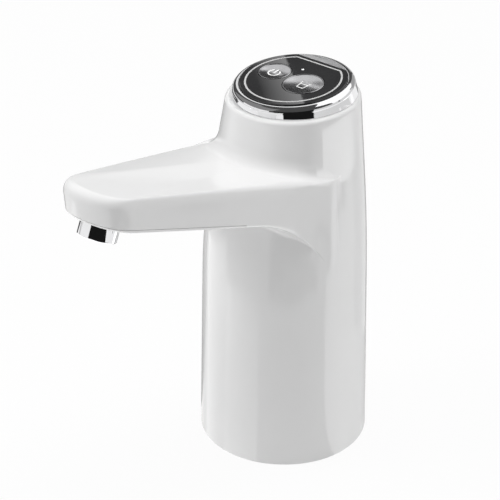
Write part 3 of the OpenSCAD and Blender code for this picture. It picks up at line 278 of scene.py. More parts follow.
pump_grey = moulded("pump_grey", (0.13, 0.135, 0.14), (0.18, 0.185, 0.19), 0.5, 0.4)
gear_plastic = moulded("gear_plastic", (0.78, 0.75, 0.65), (0.85, 0.82, 0.73), 0.38, 0.2)
black_rubber = soft_rubber("black_rubber", grey(0.015), grey(0.028), 0.6, 0)
steel = bare_metal("steel", grey(0.5, 0.01), grey(0.64, 0.01), 0.26, (1, 1, 0.08))
dress(pump_grey, "pump_cover", "pump_body", "motor_plate")
dress(gear_plastic, "drive_gear", "idler_gear")
dress(black_rubber, "cover_gasket", "shaft_seal")
dress(steel, "pump_screws", "idler_pin", "motor_screws")

# Motor
# A small brushed motor on the pump's top plate: drawn steel can, ferrite magnets,
# slotted sheet rotor, copper commutator and a moulded cap that carries the brushes.
core_steel = bare_metal("core_steel", grey(0.28, 0.01), grey(0.4, 0.01), 0.4, (0.05, 0.05, 3))
magnet_grey = moulded("magnet_grey", grey(0.1, 0.005), grey(0.15, 0.005), 0.62, 0.5)
bronze = bare_metal("bronze", (0.6, 0.36, 0.15), (0.76, 0.5, 0.24), 0.3, (1, 1, 0.1))
dark_plastic = moulded("dark_plastic", grey(0.03, 0.004), grey(0.05, 0.005), 0.45, 0.35)
dress(steel, "motor_can", "motor_shaft")
dress(core_steel, "rotor_core")
dress(magnet_grey, "motor_magnets")
dress(bronze, "motor_bushes", "commutator")
dress(dark_plastic, "motor_brushes")
dress(inner_white, "motor_end_cap")

# Battery and charging board
# One sleeved round cell in a moulded holder that is screwed to the deck; its shelf
# carries the charging board, whose steel socket looks out of the housing's back.
cell_blue = moulded("cell_blue", (0.035, 0.1, 0.36), (0.06, 0.16, 0.5), 0.24, 0.1)
board_green = moulded("board_green", (0.012, 0.11, 0.045), (0.025, 0.18, 0.08), 0.35, 0.15)
lead_red = soft_rubber("lead_red", (0.42, 0.02, 0.02), (0.56, 0.04, 0.035), 0.42, 0)
dress(inner_white, "battery_holder")
dress(steel, "holder_screws", "battery_tabs", "charge_socket")
dress(cell_blue, "battery_cell")
dress(board_green, "charge_board", "control_board")
dress(lead_red, "battery_leads", "motor_leads", "board_leads")

# Outlet hose
# The silicone hose that carries the water from the pump's top up inside the body,
# round one bend and along the spout. Cut from plain tube and pushed onto two stubs.
OUTLET_U = 23.5
HOSE_R = 3.6
HOSE_BORE_R = 2.45
HOSE_BEND_R = 14
HOSE_STEPS = 32
BEND_STEPS = 18
RUN_STEPS = 6
HOSE_RISE = math.radians(14.8)
NOZZLE_U = 105
NOZZLE_Z = 131
NOZZLE_TILT = math.radians(24)
elbow_s = 14.1
hose_start_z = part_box("outlet_tube")[0].z / MM
hose_end_run = 7.8
elbow_u = NOZZLE_U - elbow_s * math.sin(NOZZLE_TILT)
elbow_z = NOZZLE_Z + elbow_s * math.cos(NOZZLE_TILT)
bend_turn = math.pi / 2 - HOSE_RISE
bend_end_u = OUTLET_U + HOSE_BEND_R * (1 - math.cos(bend_turn))
bend_end_z = elbow_z - (elbow_u - bend_end_u) * math.tan(HOSE_RISE)
bend_z = bend_end_z - HOSE_BEND_R * math.sin(bend_turn)
hose_end_u = elbow_u - hose_end_run * math.cos(HOSE_RISE)
hose_route = [(OUTLET_U, hose_start_z + (bend_z - hose_start_z) * k / RUN_STEPS) for k in range(RUN_STEPS)]
for k in range(BEND_STEPS + 1):
    turn = bend_turn * k / BEND_STEPS
    reach = OUTLET_U + HOSE_BEND_R * (1 - math.cos(turn))
    hose_route.append((reach, bend_z + HOSE_BEND_R * math.sin(turn)))
for k in range(1, RUN_STEPS + 1):
    reach = bend_end_u + (hose_end_u - bend_end_u) * k / RUN_STEPS
    hose_route.append((reach, elbow_z - (elbow_u - reach) * math.tan(HOSE_RISE)))


def run_at(points, k):
    """The direction of a line of points at one of them."""
    ahead = Vector(points[min(k + 1, len(points) - 1)])
    behind = Vector(points[max(k - 1, 0)])
    return (ahead - behind).normalized()


def hose_ring(shape, k, radius):
    outward, upward = run_at(hose_route, k)
    run = Vector((0, -outward, upward))
    across = Vector((1, 0, 0))
    square = run.cross(across)
    middle = Vector((0, -hose_route[k][0], hose_route[k][1]))
    ring = []
    for m in range(HOSE_STEPS):
        angle = 2 * math.pi * m / HOSE_STEPS
        spot = middle + radius * (math.cos(angle) * across + math.sin(angle) * square)
        ring.append(shape.verts.new(spot * MM))
    return ring


hose_shape = bmesh.new()
hose_rings = [hose_ring(hose_shape, k, HOSE_R) for k in range(len(hose_route))]
hose_rings += [hose_ring(hose_shape, k, HOSE_BORE_R) for k in reversed(range(len(hose_route)))]
join_all(hose_shape, hose_rings, True)
put(as_piece("outlet_hose", hose_shape, silicone), "root", "silicone", "outlet_tube")
dress(clear_plastic, "outlet_elbow", "nozzle_screen")

# Housing
# One white moulded shell: the tapered body, its soft bend into the leaning neck, and
# the broad spout that rises from it. Gloss plastic, 2 mm thick, open below the spout.
BASE_R = 36
BODY_DRAFT = 0.022
NECK_Z = 98
NECK_BLEND = 20
NECK_CLOSE = 0.1003
NECK_LEAN = 0.078
WALL = 2
FOOT_ROUND = 0.8
PANEL_Z = 159.4
PANEL_Y = 4.1
PANEL_TILT = 6
RING_H = 6.3
RIM_TILT = 2.5
SPOUT_HALF = 32
SPOUT_TAPER = 9
SPOUT_REACH = 112.5
TIP_FRONT_R = 24
TIP_CORNER_R = 10
SPOUT_TOP_Z = 127.3
SPOUT_TOP_RISE = 0.228
SPOUT_LOW_Z = 106.8
SPOUT_LOW_RISE = 0.296
ARCH_R = 42
SIDE_DRAFT = 0.04
TOP_ROUND = 4.5
LOW_ROUND = 1.6
ARCH_ROUND = 2.2
ARCH_FORM = 2.3
NECK_FILLET = 6
BODY_FILLET = 4
RIM_ROUND = 1.6
RIM_LIP_W = 1.2
RIM_LIP_H = 1.6
ROOT_BLEND = 1.5
ROOT_FROM = 72
ROOT_FADE = 0.0126
ROOT_HOLD = 2
ROOT_LEDGE = 4
DRAFT_FADE = 6
LEAST_EDGE = 0.3
FILLET_SHARE = 0.45
TOP_SHARE = 0.38
NECK_SHARE = 0.6
BODY_ROWS = 0.5
LOW_ROWS = 0.4
TOP_ROWS = 0.6
SIDE_ROWS = 5


def sin_d(angle):
    return math.sin(math.radians(angle))


def cos_d(angle):
    return math.cos(math.radians(angle))


def ramp(x, w):
    """Nothing, then x itself, with a soft bend of half length w between the two."""
    if x < -w:
        return 0
    if x > w:
        return x
    return (x + w) ** 2 / (4 * w)


def neck_run(z):
    return ramp(z - NECK_Z, NECK_BLEND)


def body_r(z):
    return BASE_R - BODY_DRAFT * z - NECK_CLOSE * neck_run(z)


def body_y(z):
    return NECK_LEAN * neck_run(z)


def wall_at(a, z, t):
    centre = body_y(z)
    radius = body_r(z) - t
    return -centre * cos_d(a) + math.sqrt(radius ** 2 - (centre * sin_d(a)) ** 2)


side_line = SPOUT_HALF * cos_d(SPOUT_TAPER)
tangent_u = side_line * sin_d(SPOUT_TAPER)
front_u = SPOUT_REACH - TIP_FRONT_R
corner_line = side_line - TIP_CORNER_R
taper_tan = math.tan(math.radians(SPOUT_TAPER))
quad_a = taper_tan ** 2 + 1
quad_b = -2 * (corner_line * sin_d(SPOUT_TAPER) / cos_d(SPOUT_TAPER) ** 2 + front_u)
quad_c = (corner_line / cos_d(SPOUT_TAPER)) ** 2 + front_u ** 2 - (TIP_FRONT_R - TIP_CORNER_R) ** 2
corner_u = (-quad_b + math.sqrt(quad_b ** 2 - 4 * quad_a * quad_c)) / (2 * quad_a)
corner_x = (corner_line - corner_u * sin_d(SPOUT_TAPER)) / cos_d(SPOUT_TAPER)
front_end = math.degrees(math.atan2(corner_x, corner_u - front_u))
front_angle = math.degrees(math.atan2(
    TIP_FRONT_R * sin_d(front_end), front_u + TIP_FRONT_R * cos_d(front_end)))
corner_angle = math.degrees(math.atan2(
    corner_x + TIP_CORNER_R * cos_d(SPOUT_TAPER), corner_u + TIP_CORNER_R * sin_d(SPOUT_TAPER)))
low_angle = math.atan(SPOUT_LOW_RISE)
top_angle = math.atan(SPOUT_TOP_RISE)


def circle_at(a, x, u, r):
    offset = x * cos_d(a) - u * sin_d(a)
    return x * sin_d(a) + u * cos_d(a) + math.sqrt(max(r * r - offset ** 2, 0))


def spout_at(a, t):
    b = abs(a)
    if b <= front_angle:
        return circle_at(b, 0, front_u, TIP_FRONT_R - t)
    if b <= corner_angle:
        return circle_at(b, corner_x, corner_u, TIP_CORNER_R - t)
    plain = (side_line - t) / sin_d(min(b + SPOUT_TAPER, 90))
    return max(plain - ROOT_FADE * max(b - ROOT_FROM, 0) ** 2, 0)


def top_z(u, t):
    return SPOUT_TOP_Z + SPOUT_TOP_RISE * max(u, tangent_u) - t / math.cos(top_angle)


def side_run(u):
    return (max(u, tangent_u) - tangent_u) / cos_d(SPOUT_TAPER)


def low_z(u, t):
    v = max(u, tangent_u)
    run = side_run(u)
    plain = SPOUT_LOW_Z + SPOUT_LOW_RISE * v
    if run < ARCH_R:
        return plain + ((ARCH_R + t) ** ARCH_FORM - (ARCH_R - run) ** ARCH_FORM) ** (1 / ARCH_FORM) - ARCH_R
    return plain + t / math.cos(low_angle)


rim_z = PANEL_Z - RING_H * cos_d(PANEL_TILT)
rim_y = PANEL_Y + RING_H * sin_d(PANEL_TILT)
SETTLE_STEPS = 12
ARCH_STEPS = 60


def settle(a, t):
    """Heights where the spout's top face and underside leave the body in one direction."""
    high = SPOUT_TOP_Z
    for _ in range(SETTLE_STEPS):
        high = top_z(wall_at(a, high, t) * cos_d(a), t)
    low = SPOUT_LOW_Z
    for _ in range(ARCH_STEPS):
        low = (low + low_z(wall_at(a, low, t) * cos_d(a), t)) / 2
    return high, low


def rim_height(a, t):
    z = rim_z
    for _ in range(SETTLE_STEPS):
        z = rim_z - math.tan(math.radians(RIM_TILT)) * (wall_at(a, z, t) * cos_d(a) + rim_y)
    return z


RIM_STEPS = 6
ROW_GAP = 0.12
UNDER_ROWS = (0.03, 0.06, 0.1, 0.15, 0.22, 0.3, 0.45, 0.6, 0.8)


def upright_section(a, t, n):
    """One upright cut of the shell as [distance from the axis, height], foot to rim.

    l and t in a name stand for the spout's underside and top: r and z where they leave the
    body, e how far the spout stands out, s its side. f1 to f4 are the rounds from below up,
    v1 to v4 the heights that they take.
    """
    zt, zl = settle(a, t)
    rt = wall_at(a, zt, t)
    rl = wall_at(a, zl, t)
    reach = spout_at(a, t)
    et = ramp(reach - rt, ROOT_BLEND)
    side_h = top_z((rt + et) * cos_d(a), t) - low_z((rt + et) * cos_d(a), t)
    el = ramp(reach - rl - SIDE_DRAFT * side_h * min(1, max(reach - rl, 0) / DRAFT_FADE), ROOT_BLEND)
    st = rt + et
    sl = rl + el
    zst = top_z(st * cos_d(a), t)
    zsl = low_z(sl * cos_d(a), t)
    f1 = min(BODY_FILLET + t, FILLET_SHARE * el)
    edge = LOW_ROUND + (ARCH_ROUND - LOW_ROUND) * max(1 - side_run(sl * cos_d(a)) / ARCH_R, 0)
    f2 = min(max(edge - t, LEAST_EDGE), FILLET_SHARE * el)
    f3 = min(TOP_ROUND - t, TOP_SHARE * et, FILLET_SHARE * (zst - zsl))
    f4 = min(NECK_FILLET + t, NECK_SHARE * et)
    v1, v2, v3 = max(f1, BODY_ROWS), max(f2, LOW_ROWS), max(f3, TOP_ROWS)
    v4 = max(f4, TOP_ROWS, (NECK_FILLET + t) * min(1, et / ROOT_LEDGE))
    foot = FOOT_ROUND if t == 0 else 0
    rim_in = RIM_ROUND if t == 0 else t + RIM_LIP_W
    zr = rim_height(a, rim_in)
    neck_low = top_z(rt * cos_d(a), t) + ROW_GAP + v4
    neck_high = zr - (RIM_ROUND if t == 0 else RIM_LIP_H + RIM_LIP_W)
    low_hold = max(1 - el / ROOT_HOLD, 0)
    top_hold = max(1 - et / ROOT_HOLD, 0)
    quarter = [90 * k / n for k in range(n + 1)]

    def held(r, z, root_r, hold):
        return (r + hold * (wall_at(a, z, t) - root_r), z)

    points = []
    if foot:
        points += arc((wall_at(a, 0, t) - foot, foot), foot, 270, 345, 5)
    for k in range(n + 4):
        z = foot + (zl - v1 - foot) * k / (n + 4)
        points.append((wall_at(a, z, t), z))
    for q in quarter:
        r = rl + f1 * (1 - cos_d(q))
        z = low_z(r * cos_d(a), t) - v1 * (1 - sin_d(q))
        points.append((max(held(r, z, rl, low_hold)[0], wall_at(a, z, t)), z))
    for k in UNDER_ROWS:
        r = rl + f1 + (sl - f2 - rl - f1) * k
        z = low_z(r * cos_d(a), t) + ROW_GAP * k
        points.append(held(r, z, rl, low_hold))
    for q in quarter:
        r = sl - f2 * (1 - sin_d(q))
        z = low_z(r * cos_d(a), t) + ROW_GAP + v2 * (1 - cos_d(q))
        points.append(held(r, z, rl, low_hold))
    side_low = zsl + ROW_GAP + v2
    side_high = zst - v3
    for k in range(1, SIDE_ROWS):
        z = side_low + (side_high - side_low) * k / SIDE_ROWS
        points.append((max(sl + (st - sl) * k / SIDE_ROWS, wall_at(a, z, t)), z))
    for q in quarter:
        r = st - f3 * (1 - cos_d(q))
        z = top_z(r * cos_d(a), t) - v3 * (1 - sin_d(q))
        points.append(held(r, z, rt, top_hold))
    for q in quarter:
        out = f4 * (1 - sin_d(q))
        z = top_z((rt + out) * cos_d(a), t) + ROW_GAP + v4 * (1 - cos_d(q))
        points.append((wall_at(a, z, t) + out, z))
    for k in range(1, n + 1):
        z = neck_low + (neck_high - neck_low) * k / n
        points.append((wall_at(a, z, t), z))
    if foot:
        for k in range(1, RIM_STEPS + 1):
            q = 90 * k / RIM_STEPS
            r = wall_at(a, neck_high, 0) - RIM_ROUND * (1 - cos_d(q))
            points.append((r, neck_high + RIM_ROUND * sin_d(q)))
    else:
        for z in (zr - RIM_LIP_H, zr):
            points.append((wall_at(a, z, rim_in), z))
    return points


half_turn = []
for start, step, count in ((0, 0.5, 40), (20, 1, 40), (60, 0.5, 80), (100, 4, 21)):
    half_turn += [start + step * k for k in range(count)]
whole_turn = [-a for a in reversed(half_turn[1:-1])] + half_turn


def swept(shape, turns, section, place, forward, closed=False):
    """One cut after another round an axis, joined by faces; gives back the rows of points."""
    columns = []
    for turn in turns:
        column = []
        for r, z in section(turn):
            spot = Vector((r * sin_d(turn), forward * r * cos_d(turn), z))
            column.append(shape.verts.new(place @ spot * MM))
        columns.append(column)
    rows = [list(row) for row in zip(*columns)]
    join_all(shape, rows, closed)
    return rows


def shell_skin(shape, t, n):
    """The shell's surface moved in by t, as rows that each go once round."""
    def section(a):
        return upright_section(a, t, n)
    return swept(shape, whole_turn, section, UPRIGHT, -1)


COVER_U = 50
COVER_EDGE = 1.2
COVER_GAP = 0.15
COVER_LEDGE = 1
COVER_T = 2.4
COVER_ROOM = 12
COVER_OVER = 10
OUTER_ROWS = 10
INNER_ROWS = 4
cover_run = (SPOUT_REACH + COVER_OVER - COVER_U) / math.cos(low_angle)


def tilted(y, z, angle):
    """A place in the middle plane, tipped about the crosswise axis."""
    return Matrix.Translation((0, y, z)) @ Matrix.Rotation(angle, 4, "X")


under_spout = tilted(-COVER_U, SPOUT_LOW_Z + SPOUT_LOW_RISE * COVER_U, -low_angle)


def block(low, high, place):
    """A plain block between two corners, in millimetres, for cutting with."""
    shape = bmesh.new()
    bmesh.ops.create_cube(shape, size=1)
    for v in shape.verts:
        spot = Vector([low[i] + (high[i] - low[i]) * (v.co[i] + 0.5) for i in range(3)])
        v.co = place @ spot * MM
    return shape


def prism(outline, low, high, place):
    """An outline in millimetres drawn up from one height to another."""
    shape = bmesh.new()
    rows = []
    for z in (low, high):
        rows.append([shape.verts.new(place @ Vector((x, y, z)) * MM) for x, y in outline])
    join_rows(shape, rows[0], rows[1])
    for row in rows:
        shape.faces.new(row)
    return shape


def carve(piece, tool, operation):
    """Cuts or joins a second shape and keeps the result as the piece's own mesh."""
    finish = piece.data.materials[0]
    other = as_piece("tool", tool, finish)
    change = piece.modifiers.new("carve", "BOOLEAN")
    change.solver = "EXACT"
    change.operation = operation
    change.object = other
    bpy.context.view_layer.update()
    seen = bpy.context.evaluated_depsgraph_get()
    ready = bpy.data.meshes.new_from_object(piece.evaluated_get(seen))
    piece.modifiers.clear()
    piece.data = ready
    bpy.data.objects.remove(other)
    ready.shade_smooth()
    ready.set_sharp_from_angle(angle=PIECE_SHARP)


def spout_plan(t, end_gap):
    """The spout's outline seen square to its underside, moved in by t."""
    line_x = (side_line - t - (COVER_U + end_gap) * sin_d(SPOUT_TAPER)) / cos_d(SPOUT_TAPER)
    half = [(line_x, COVER_U + end_gap)]
    half += arc((corner_x, corner_u), TIP_CORNER_R - t, SPOUT_TAPER, 90 - front_end, 16)
    half += arc((0, front_u), TIP_FRONT_R - t, 90 - front_end, 90, 16)[1:]
    both = half + [(-x, u) for x, u in reversed(half[:-1])]
    return [(x, -(u - COVER_U) / math.cos(low_angle)) for x, u in both]


shell_white = surface("shell_white", grey(0.835), grey(0.855), (24, 3), (0.07, 0.11), (160, 3),
                      ((380, 2), 0.05, 0.00002))
shell_shape = bmesh.new()
outer_rows = shell_skin(shell_shape, 0, OUTER_ROWS)
inner_rows = shell_skin(shell_shape, WALL, INNER_ROWS)
join_rows(shell_shape, outer_rows[0], inner_rows[0])
join_rows(shell_shape, outer_rows[-1], inner_rows[-1])
housing = as_piece("housing", shell_shape, shell_white)
carve(housing, block((-SPOUT_HALF, -cover_run, -COVER_ROOM),
                     (SPOUT_HALF, 0, COVER_EDGE + COVER_GAP), under_spout), "DIFFERENCE")
carve(housing, prism(spout_plan(WALL + COVER_LEDGE, COVER_LEDGE), -COVER_ROOM, 2 * WALL, under_spout),
      "DIFFERENCE")
PORT_Z = 109.1
PORT_W = 9.7
PORT_H = 4
port_half = PORT_W / 2 - PORT_H / 2
port_outline = arc((port_half, 0), PORT_H / 2, -90, 90, 12) + arc((-port_half, 0), PORT_H / 2, 90, 270, 12)
port_place = tilted(body_y(PORT_Z) + body_r(PORT_Z) + WALL, PORT_Z, math.pi / 2)
carve(housing, prism(port_outline, 0, 3 * WALL, port_place), "DIFFERENCE")
put(housing, "root", "shell_white", "housing_shell")

# Spout cover
# The thin white lid that closes the spout from below and holds the nozzle in a boss.
# Moulded in the housing's plastic; its edge sits in a step and shows as a fine seam.
NOZZLE_NECK_R = 5.4
BOSS_R = 7.4
BOSS_S = 10
NECK_FIT = 0.05
ROUND_STEPS = 96
on_nozzle = tilted(-NOZZLE_U, NOZZLE_Z, -NOZZLE_TILT)


def full_circle(centre, radius):
    return arc(centre, radius, 0, 360 - 360 / ROUND_STEPS, ROUND_STEPS - 1)


cover_shape = bmesh.new()
full_rows = shell_skin(cover_shape, 0, OUTER_ROWS)
cover_shape.faces.new(full_rows[0])
cover_shape.faces.new(full_rows[-1])
cover = as_piece("spout_lid", cover_shape, shell_white)
carve(cover, block((-SPOUT_HALF, -cover_run, -COVER_ROOM), (SPOUT_HALF, -COVER_GAP, COVER_EDGE), under_spout),
      "INTERSECT")
carve(cover, prism(spout_plan(WALL + COVER_LEDGE + COVER_GAP, 2 * COVER_LEDGE), COVER_EDGE / 2, COVER_T,
                   under_spout), "UNION")
boss = as_piece("boss", prism(full_circle((0, 0), BOSS_R), 0, BOSS_S, on_nozzle), shell_white)
boss_room = block((-SPOUT_HALF, -cover_run, COVER_EDGE / 2),
                  (SPOUT_HALF, cover_run, 4 * COVER_T), under_spout)
carve(boss, boss_room, "INTERSECT")
boss_shape = bmesh.new()
boss_shape.from_mesh(boss.data)
bpy.data.objects.remove(boss)
carve(cover, boss_shape, "UNION")
neck_plan = full_circle((0, 0), NOZZLE_NECK_R + NECK_FIT)
carve(cover, prism(neck_plan, 0, 3 * BOSS_S, on_nozzle), "DIFFERENCE")
put(cover, "root", "shell_white", "spout_cover")

# Nozzle
# The bright outlet under the spout's tip: a turned and chromed brass cup whose neck
# goes up through the lid and is held by a nut inside; a small sieve sits in its mouth.
NOZZLE_R = 7.5
CUP_R = 6.2
CUP_DEPTH = 4.2
NOZZLE_BORE_R = 4.2
NOZZLE_TOP = 12.2
rim_edge = 0.5
lip_edge = 0.3
shoulder_gap = 0.05
chrome = surface("bright_chrome", grey(0.8, 0.01), grey(0.84, 0.01), (120, 2), (0.03, 0.07), (600, 3),
                 ((260, 2), 0.04, 0.00002), {"Metallic": 1})
lid_normal = under_spout.to_3x3() @ Vector((0, 0, 1))
lid_point = under_spout @ Vector((0, 0, -shoulder_gap))
axis = on_nozzle.to_3x3() @ Vector((0, 0, 1))


def under_lid(radius, angle):
    """How far along the nozzle's axis a line at that radius and angle meets the lid."""
    start = on_nozzle @ Vector((radius * math.cos(angle), radius * math.sin(angle), 0))
    return (lid_point - start).dot(lid_normal) / axis.dot(lid_normal)


nozzle_profile = (
    [(NOZZLE_BORE_R, NOZZLE_TOP), (NOZZLE_NECK_R, NOZZLE_TOP), (NOZZLE_NECK_R, None), (NOZZLE_R, None)]
    + arc((NOZZLE_R - rim_edge, rim_edge), rim_edge, 0, -90, 6)
    + arc((CUP_R + lip_edge, lip_edge), lip_edge, 270, 180, 4)
    + [(CUP_R, CUP_DEPTH), (NOZZLE_BORE_R, CUP_DEPTH)]
)
nozzle_cup = turned("nozzle_cup", nozzle_profile, on_nozzle, chrome, meet=under_lid)
put(nozzle_cup, "root", "bright_chrome", "nozzle")
dress(dark_plastic, "nozzle_nut")

# Ring round the key panel
# A rolled ring, chromed over moulded plastic, that stands on the housing's rim and
# frames the panel. Its skirt plugs into the neck and three posts carry the board.
PANEL_R = 21.7
PANEL_FLAT = 17.5
PANEL_T = 1.6
PANEL_GAP = 0.15
RING_R = 24.7
LIP_H = -0.5
CREST_DROP = 2.9
RING_DRAFT = 0.2
LEDGE_W = 3
LEDGE_T = 1.4
SKIRT_T = 1.8
SKIRT_H = 2.5
SKIRT_GAP = 0.9
SEAT_GAP = 0.05
CREST_W = 0.45
ROLL_STEPS = 24
lip_soft = 0.12
foot_soft = 0.1
wall_edge = 0.15
ledge_r = PANEL_R - LEDGE_W
ledge_low = -PANEL_T - LEDGE_T
skirt_low = -RING_H - SKIRT_H
skirt_r = body_r(rim_z) - WALL - RIM_LIP_W - SKIRT_GAP
lip_in = PANEL_R + PANEL_GAP
crest_r = lip_in + CREST_W
on_panel = tilted(PANEL_Y, PANEL_Z, math.radians(PANEL_TILT))
roll = []
for k in range(1, ROLL_STEPS):
    q = 90 * k / ROLL_STEPS
    roll.append((crest_r + (RING_R - crest_r) * cos_d(q), -CREST_DROP + (CREST_DROP + LIP_H) * sin_d(q)))
rim_slope = math.tan(math.radians(PANEL_TILT - RIM_TILT))


def seat_z(y):
    """Height of the ring's slanting seat below the panel's face, y being counted backward."""
    return SEAT_GAP - RING_H - rim_slope * y


def wall_point(z):
    return (RING_R - RING_DRAFT * (z + CREST_DROP), z)


def ring_section(turn):
    """One cut through the ring, whose wall runs down to the slanting seat."""
    back = cos_d(turn)
    foot_r = RING_R
    for _ in range(4):
        foot_r = RING_R - RING_DRAFT * (seat_z(foot_r * back) + CREST_DROP)
    seat = seat_z(foot_r * back)
    return (
        arc((lip_in + lip_soft, LIP_H - lip_soft), lip_soft, 90, 180, 3)
        + [(lip_in, -PANEL_T), (ledge_r, -PANEL_T), (ledge_r, ledge_low), (skirt_r - SKIRT_T, ledge_low)]
        + [(skirt_r - SKIRT_T, skirt_low), (skirt_r, skirt_low), (skirt_r, seat_z(skirt_r * back))]
        + arc((foot_r - foot_soft, seat + foot_soft), foot_soft, 270, 360, 4)
        + [wall_point(seat + 2 * wall_edge), wall_point(-CREST_DROP - wall_edge), (RING_R, -CREST_DROP)]
        + roll
        + [(crest_r, LIP_H)]
    )


ring_shape = bmesh.new()
ring_turns = [360 * k / TURN_STEPS for k in range(TURN_STEPS)]
swept(ring_shape, ring_turns, ring_section, on_panel, 1, True)
put(as_piece("panel_ring", ring_shape, chrome), "root", "bright_chrome", "top_ring")
BOARD_TOP = -8.05
POST_R = 1.9
POST_BORE_R = 0.9
POST_BORE_H = 4
POST_INSET = 1.7
POST_STEPS = 32
post_at = skirt_r - SKIRT_T - POST_INSET
post_h = ledge_low - BOARD_TOP
post_profile = [(0, POST_BORE_H), (POST_BORE_R, POST_BORE_H), (POST_BORE_R, 0), (POST_R, 0),
                (POST_R, post_h), (0, post_h)]
for k, spot in enumerate((40, 160, 280)):
    swing = Matrix.Rotation(math.radians(spot), 4, "Z")
    foot = on_panel @ swing @ Matrix.Translation((post_at, 0, BOARD_TOP))
    post = turned(f"board_post_{k + 1}", post_profile, foot, chrome, False, POST_STEPS)
    put(post, "root", "bright_chrome", "top_ring")

# Bright segment
# The flat piece of the ring behind the panel's straight edge. Chromed like the ring,
# then satin brushed from side to side.
segment_gap = 0.02
segment_sink = 0.2
segment_soft = 0.12
segment_r = PANEL_R - segment_gap
segment_front = PANEL_FLAT + PANEL_GAP
segment_half = math.degrees(math.acos(segment_front / segment_r))
segment_edge = arc((0, 0), segment_r, 90 - segment_half, 90 + segment_half, 48)
satin = bare_metal("satin_chrome", grey(0.74, 0.01), grey(0.88, 0.01), 0.3, (0.06, 1, 1))
segment = as_piece("bright_segment", prism(segment_edge, -PANEL_T - segment_sink, 0, on_panel), satin)
soften = segment.modifiers.new("soft_edge", "BEVEL")
soften.width = segment_soft * MM
soften.segments = 2
put(segment, "root", "bright_chrome", "top_ring")

# Key panel
# The glossy black sheet that fills the ring, with a printed silver line round it and
# holes for two keys and a light. Moulded plastic with a clear gloss, glued on a ledge.
POWER_AT = (-10.4, 0.8)
POWER_R = 6.7
DOSE_AT = (6.1, -1.1)
DOSE_R = 8.3
LIGHT_AT = (-2.1, 8.3)
LENS_R = 0.6
LENS_GAP = 0.05
KEY_GAP = 0.2
PANEL_STEPS = 180
EDGE_BEND = 0.3
FLAT_FACE = 0.9999
edge_soft = 0.12


def flat_sided(radius, flat):
    """A circle with a straight back edge, as points that go once round."""
    half = math.degrees(math.acos(flat / radius))
    return arc((0, 0), radius, 90 + half, 450 - half, PANEL_STEPS)


panel_black = surface("panel_black", grey(0.026, 0.001), grey(0.032, 0.001), (80, 3), (0.02, 0.045), (500, 2),
                      ((200, 2), 0.03, 0.00001))
panel_shape = bmesh.new()


def loop_at(shape, outline, z):
    return [shape.verts.new(on_panel @ Vector((x, y, z)) * MM) for x, y in outline]


def loop_edges(shape, loop):
    return [shape.edges.get((p, q)) or shape.edges.new((p, q)) for p, q in zip(loop, loop[1:] + loop[:1])]


def panel_wall(outline_at):
    """Side wall of the panel or of one of its holes, rounded over at the top."""
    bend = edge_soft * EDGE_BEND
    loops = []
    for inset, z in ((0, -PANEL_T), (0, -edge_soft), (bend, -bend), (edge_soft, 0)):
        loops.append(loop_at(panel_shape, outline_at(inset), z))
    join_all(panel_shape, loops)
    return loops[0], loops[-1]


def panel_outline(inset):
    return flat_sided(PANEL_R - inset, PANEL_FLAT - inset)


def hole_outline(place, radius):
    def outline(inset):
        return full_circle(place, radius + inset)
    return outline


panel_loops = [panel_wall(panel_outline)]
holes = ((POWER_AT, POWER_R + KEY_GAP), (DOSE_AT, DOSE_R + KEY_GAP), (LIGHT_AT, LENS_R + LENS_GAP))
for place, radius in holes:
    panel_loops.append(panel_wall(hole_outline(place, radius)))
for side in (0, 1):
    rim = []
    for pair in panel_loops:
        rim += loop_edges(panel_shape, pair[side])
    bmesh.ops.triangle_fill(panel_shape, use_beauty=True, edges=rim)
panel = as_piece("key_panel", panel_shape, panel_black)
panel_up = on_panel.to_3x3() @ Vector((0, 0, 1))
for face in panel.data.polygons:
    if abs(face.normal.dot(panel_up)) > FLAT_FACE:
        face.use_smooth = False
put(panel, "root", "panel_black", "control_panel")

# Printed line
# The thin silver line printed inside the panel's edge. Metallic ink on the black face.
LINE_R = 19.25
LINE_FLAT = 15.66
LINE_W = 0.75
ink_lift = 0.012
ink_low = 0.002
ink = surface("silver_ink", grey(0.62), grey(0.7), (3000, 2), (0.3, 0.4), (1500, 2), None, {"Metallic": 0.35})
line_shape = bmesh.new()
line_loops = []
half_w = LINE_W / 2
for inset, z in ((-half_w, ink_low), (-half_w, ink_lift), (half_w, ink_lift), (half_w, ink_low)):
    line_loops.append(loop_at(line_shape, flat_sided(LINE_R - inset, LINE_FLAT - inset), z))
join_all(line_shape, line_loops, True)
put(as_piece("printed_line", line_shape, ink), "root", "panel_black")

# Keys
# Two round keys, dished for the finger with a bright rim, on stems that press the
# switches of the board. Moulded, then plated in dark satin chrome.
KEY_DISH = 0.5
KEY_PROUD = 0.15
KEY_STEM_R = 1.6
KEY_STEM_LOW = -3.65
FLANGE_T = 0.7
FLANGE_W = 0.7
KEY_STOP = 0.05
DISH_STEPS = 16
flange_low = -PANEL_T - KEY_STOP - FLANGE_T
rim_w = 0.45


def dish_z(r, key_r):
    """Height of a key's dished face at a distance from its middle."""
    inner = key_r - rim_w
    return KEY_PROUD - rim_w / 2 - KEY_DISH * (1 - min(r / inner, 1) ** 2)


def key_profile(key_r):
    inner = key_r - rim_w
    flange_r = key_r + FLANGE_W
    flange_high = flange_low + FLANGE_T
    face = []
    for k in range(DISH_STEPS, -1, -1):
        r = inner * k / DISH_STEPS
        face.append((r, dish_z(r, key_r)))
    return (
        [(0, KEY_STEM_LOW), (KEY_STEM_R, KEY_STEM_LOW), (KEY_STEM_R, flange_low)]
        + [(flange_r, flange_low), (flange_r, flange_high), (key_r, flange_high)]
        + arc((key_r - rim_w / 2, KEY_PROUD - rim_w / 2), rim_w / 2, 0, 180, 8)[:-1]
        + face
    )


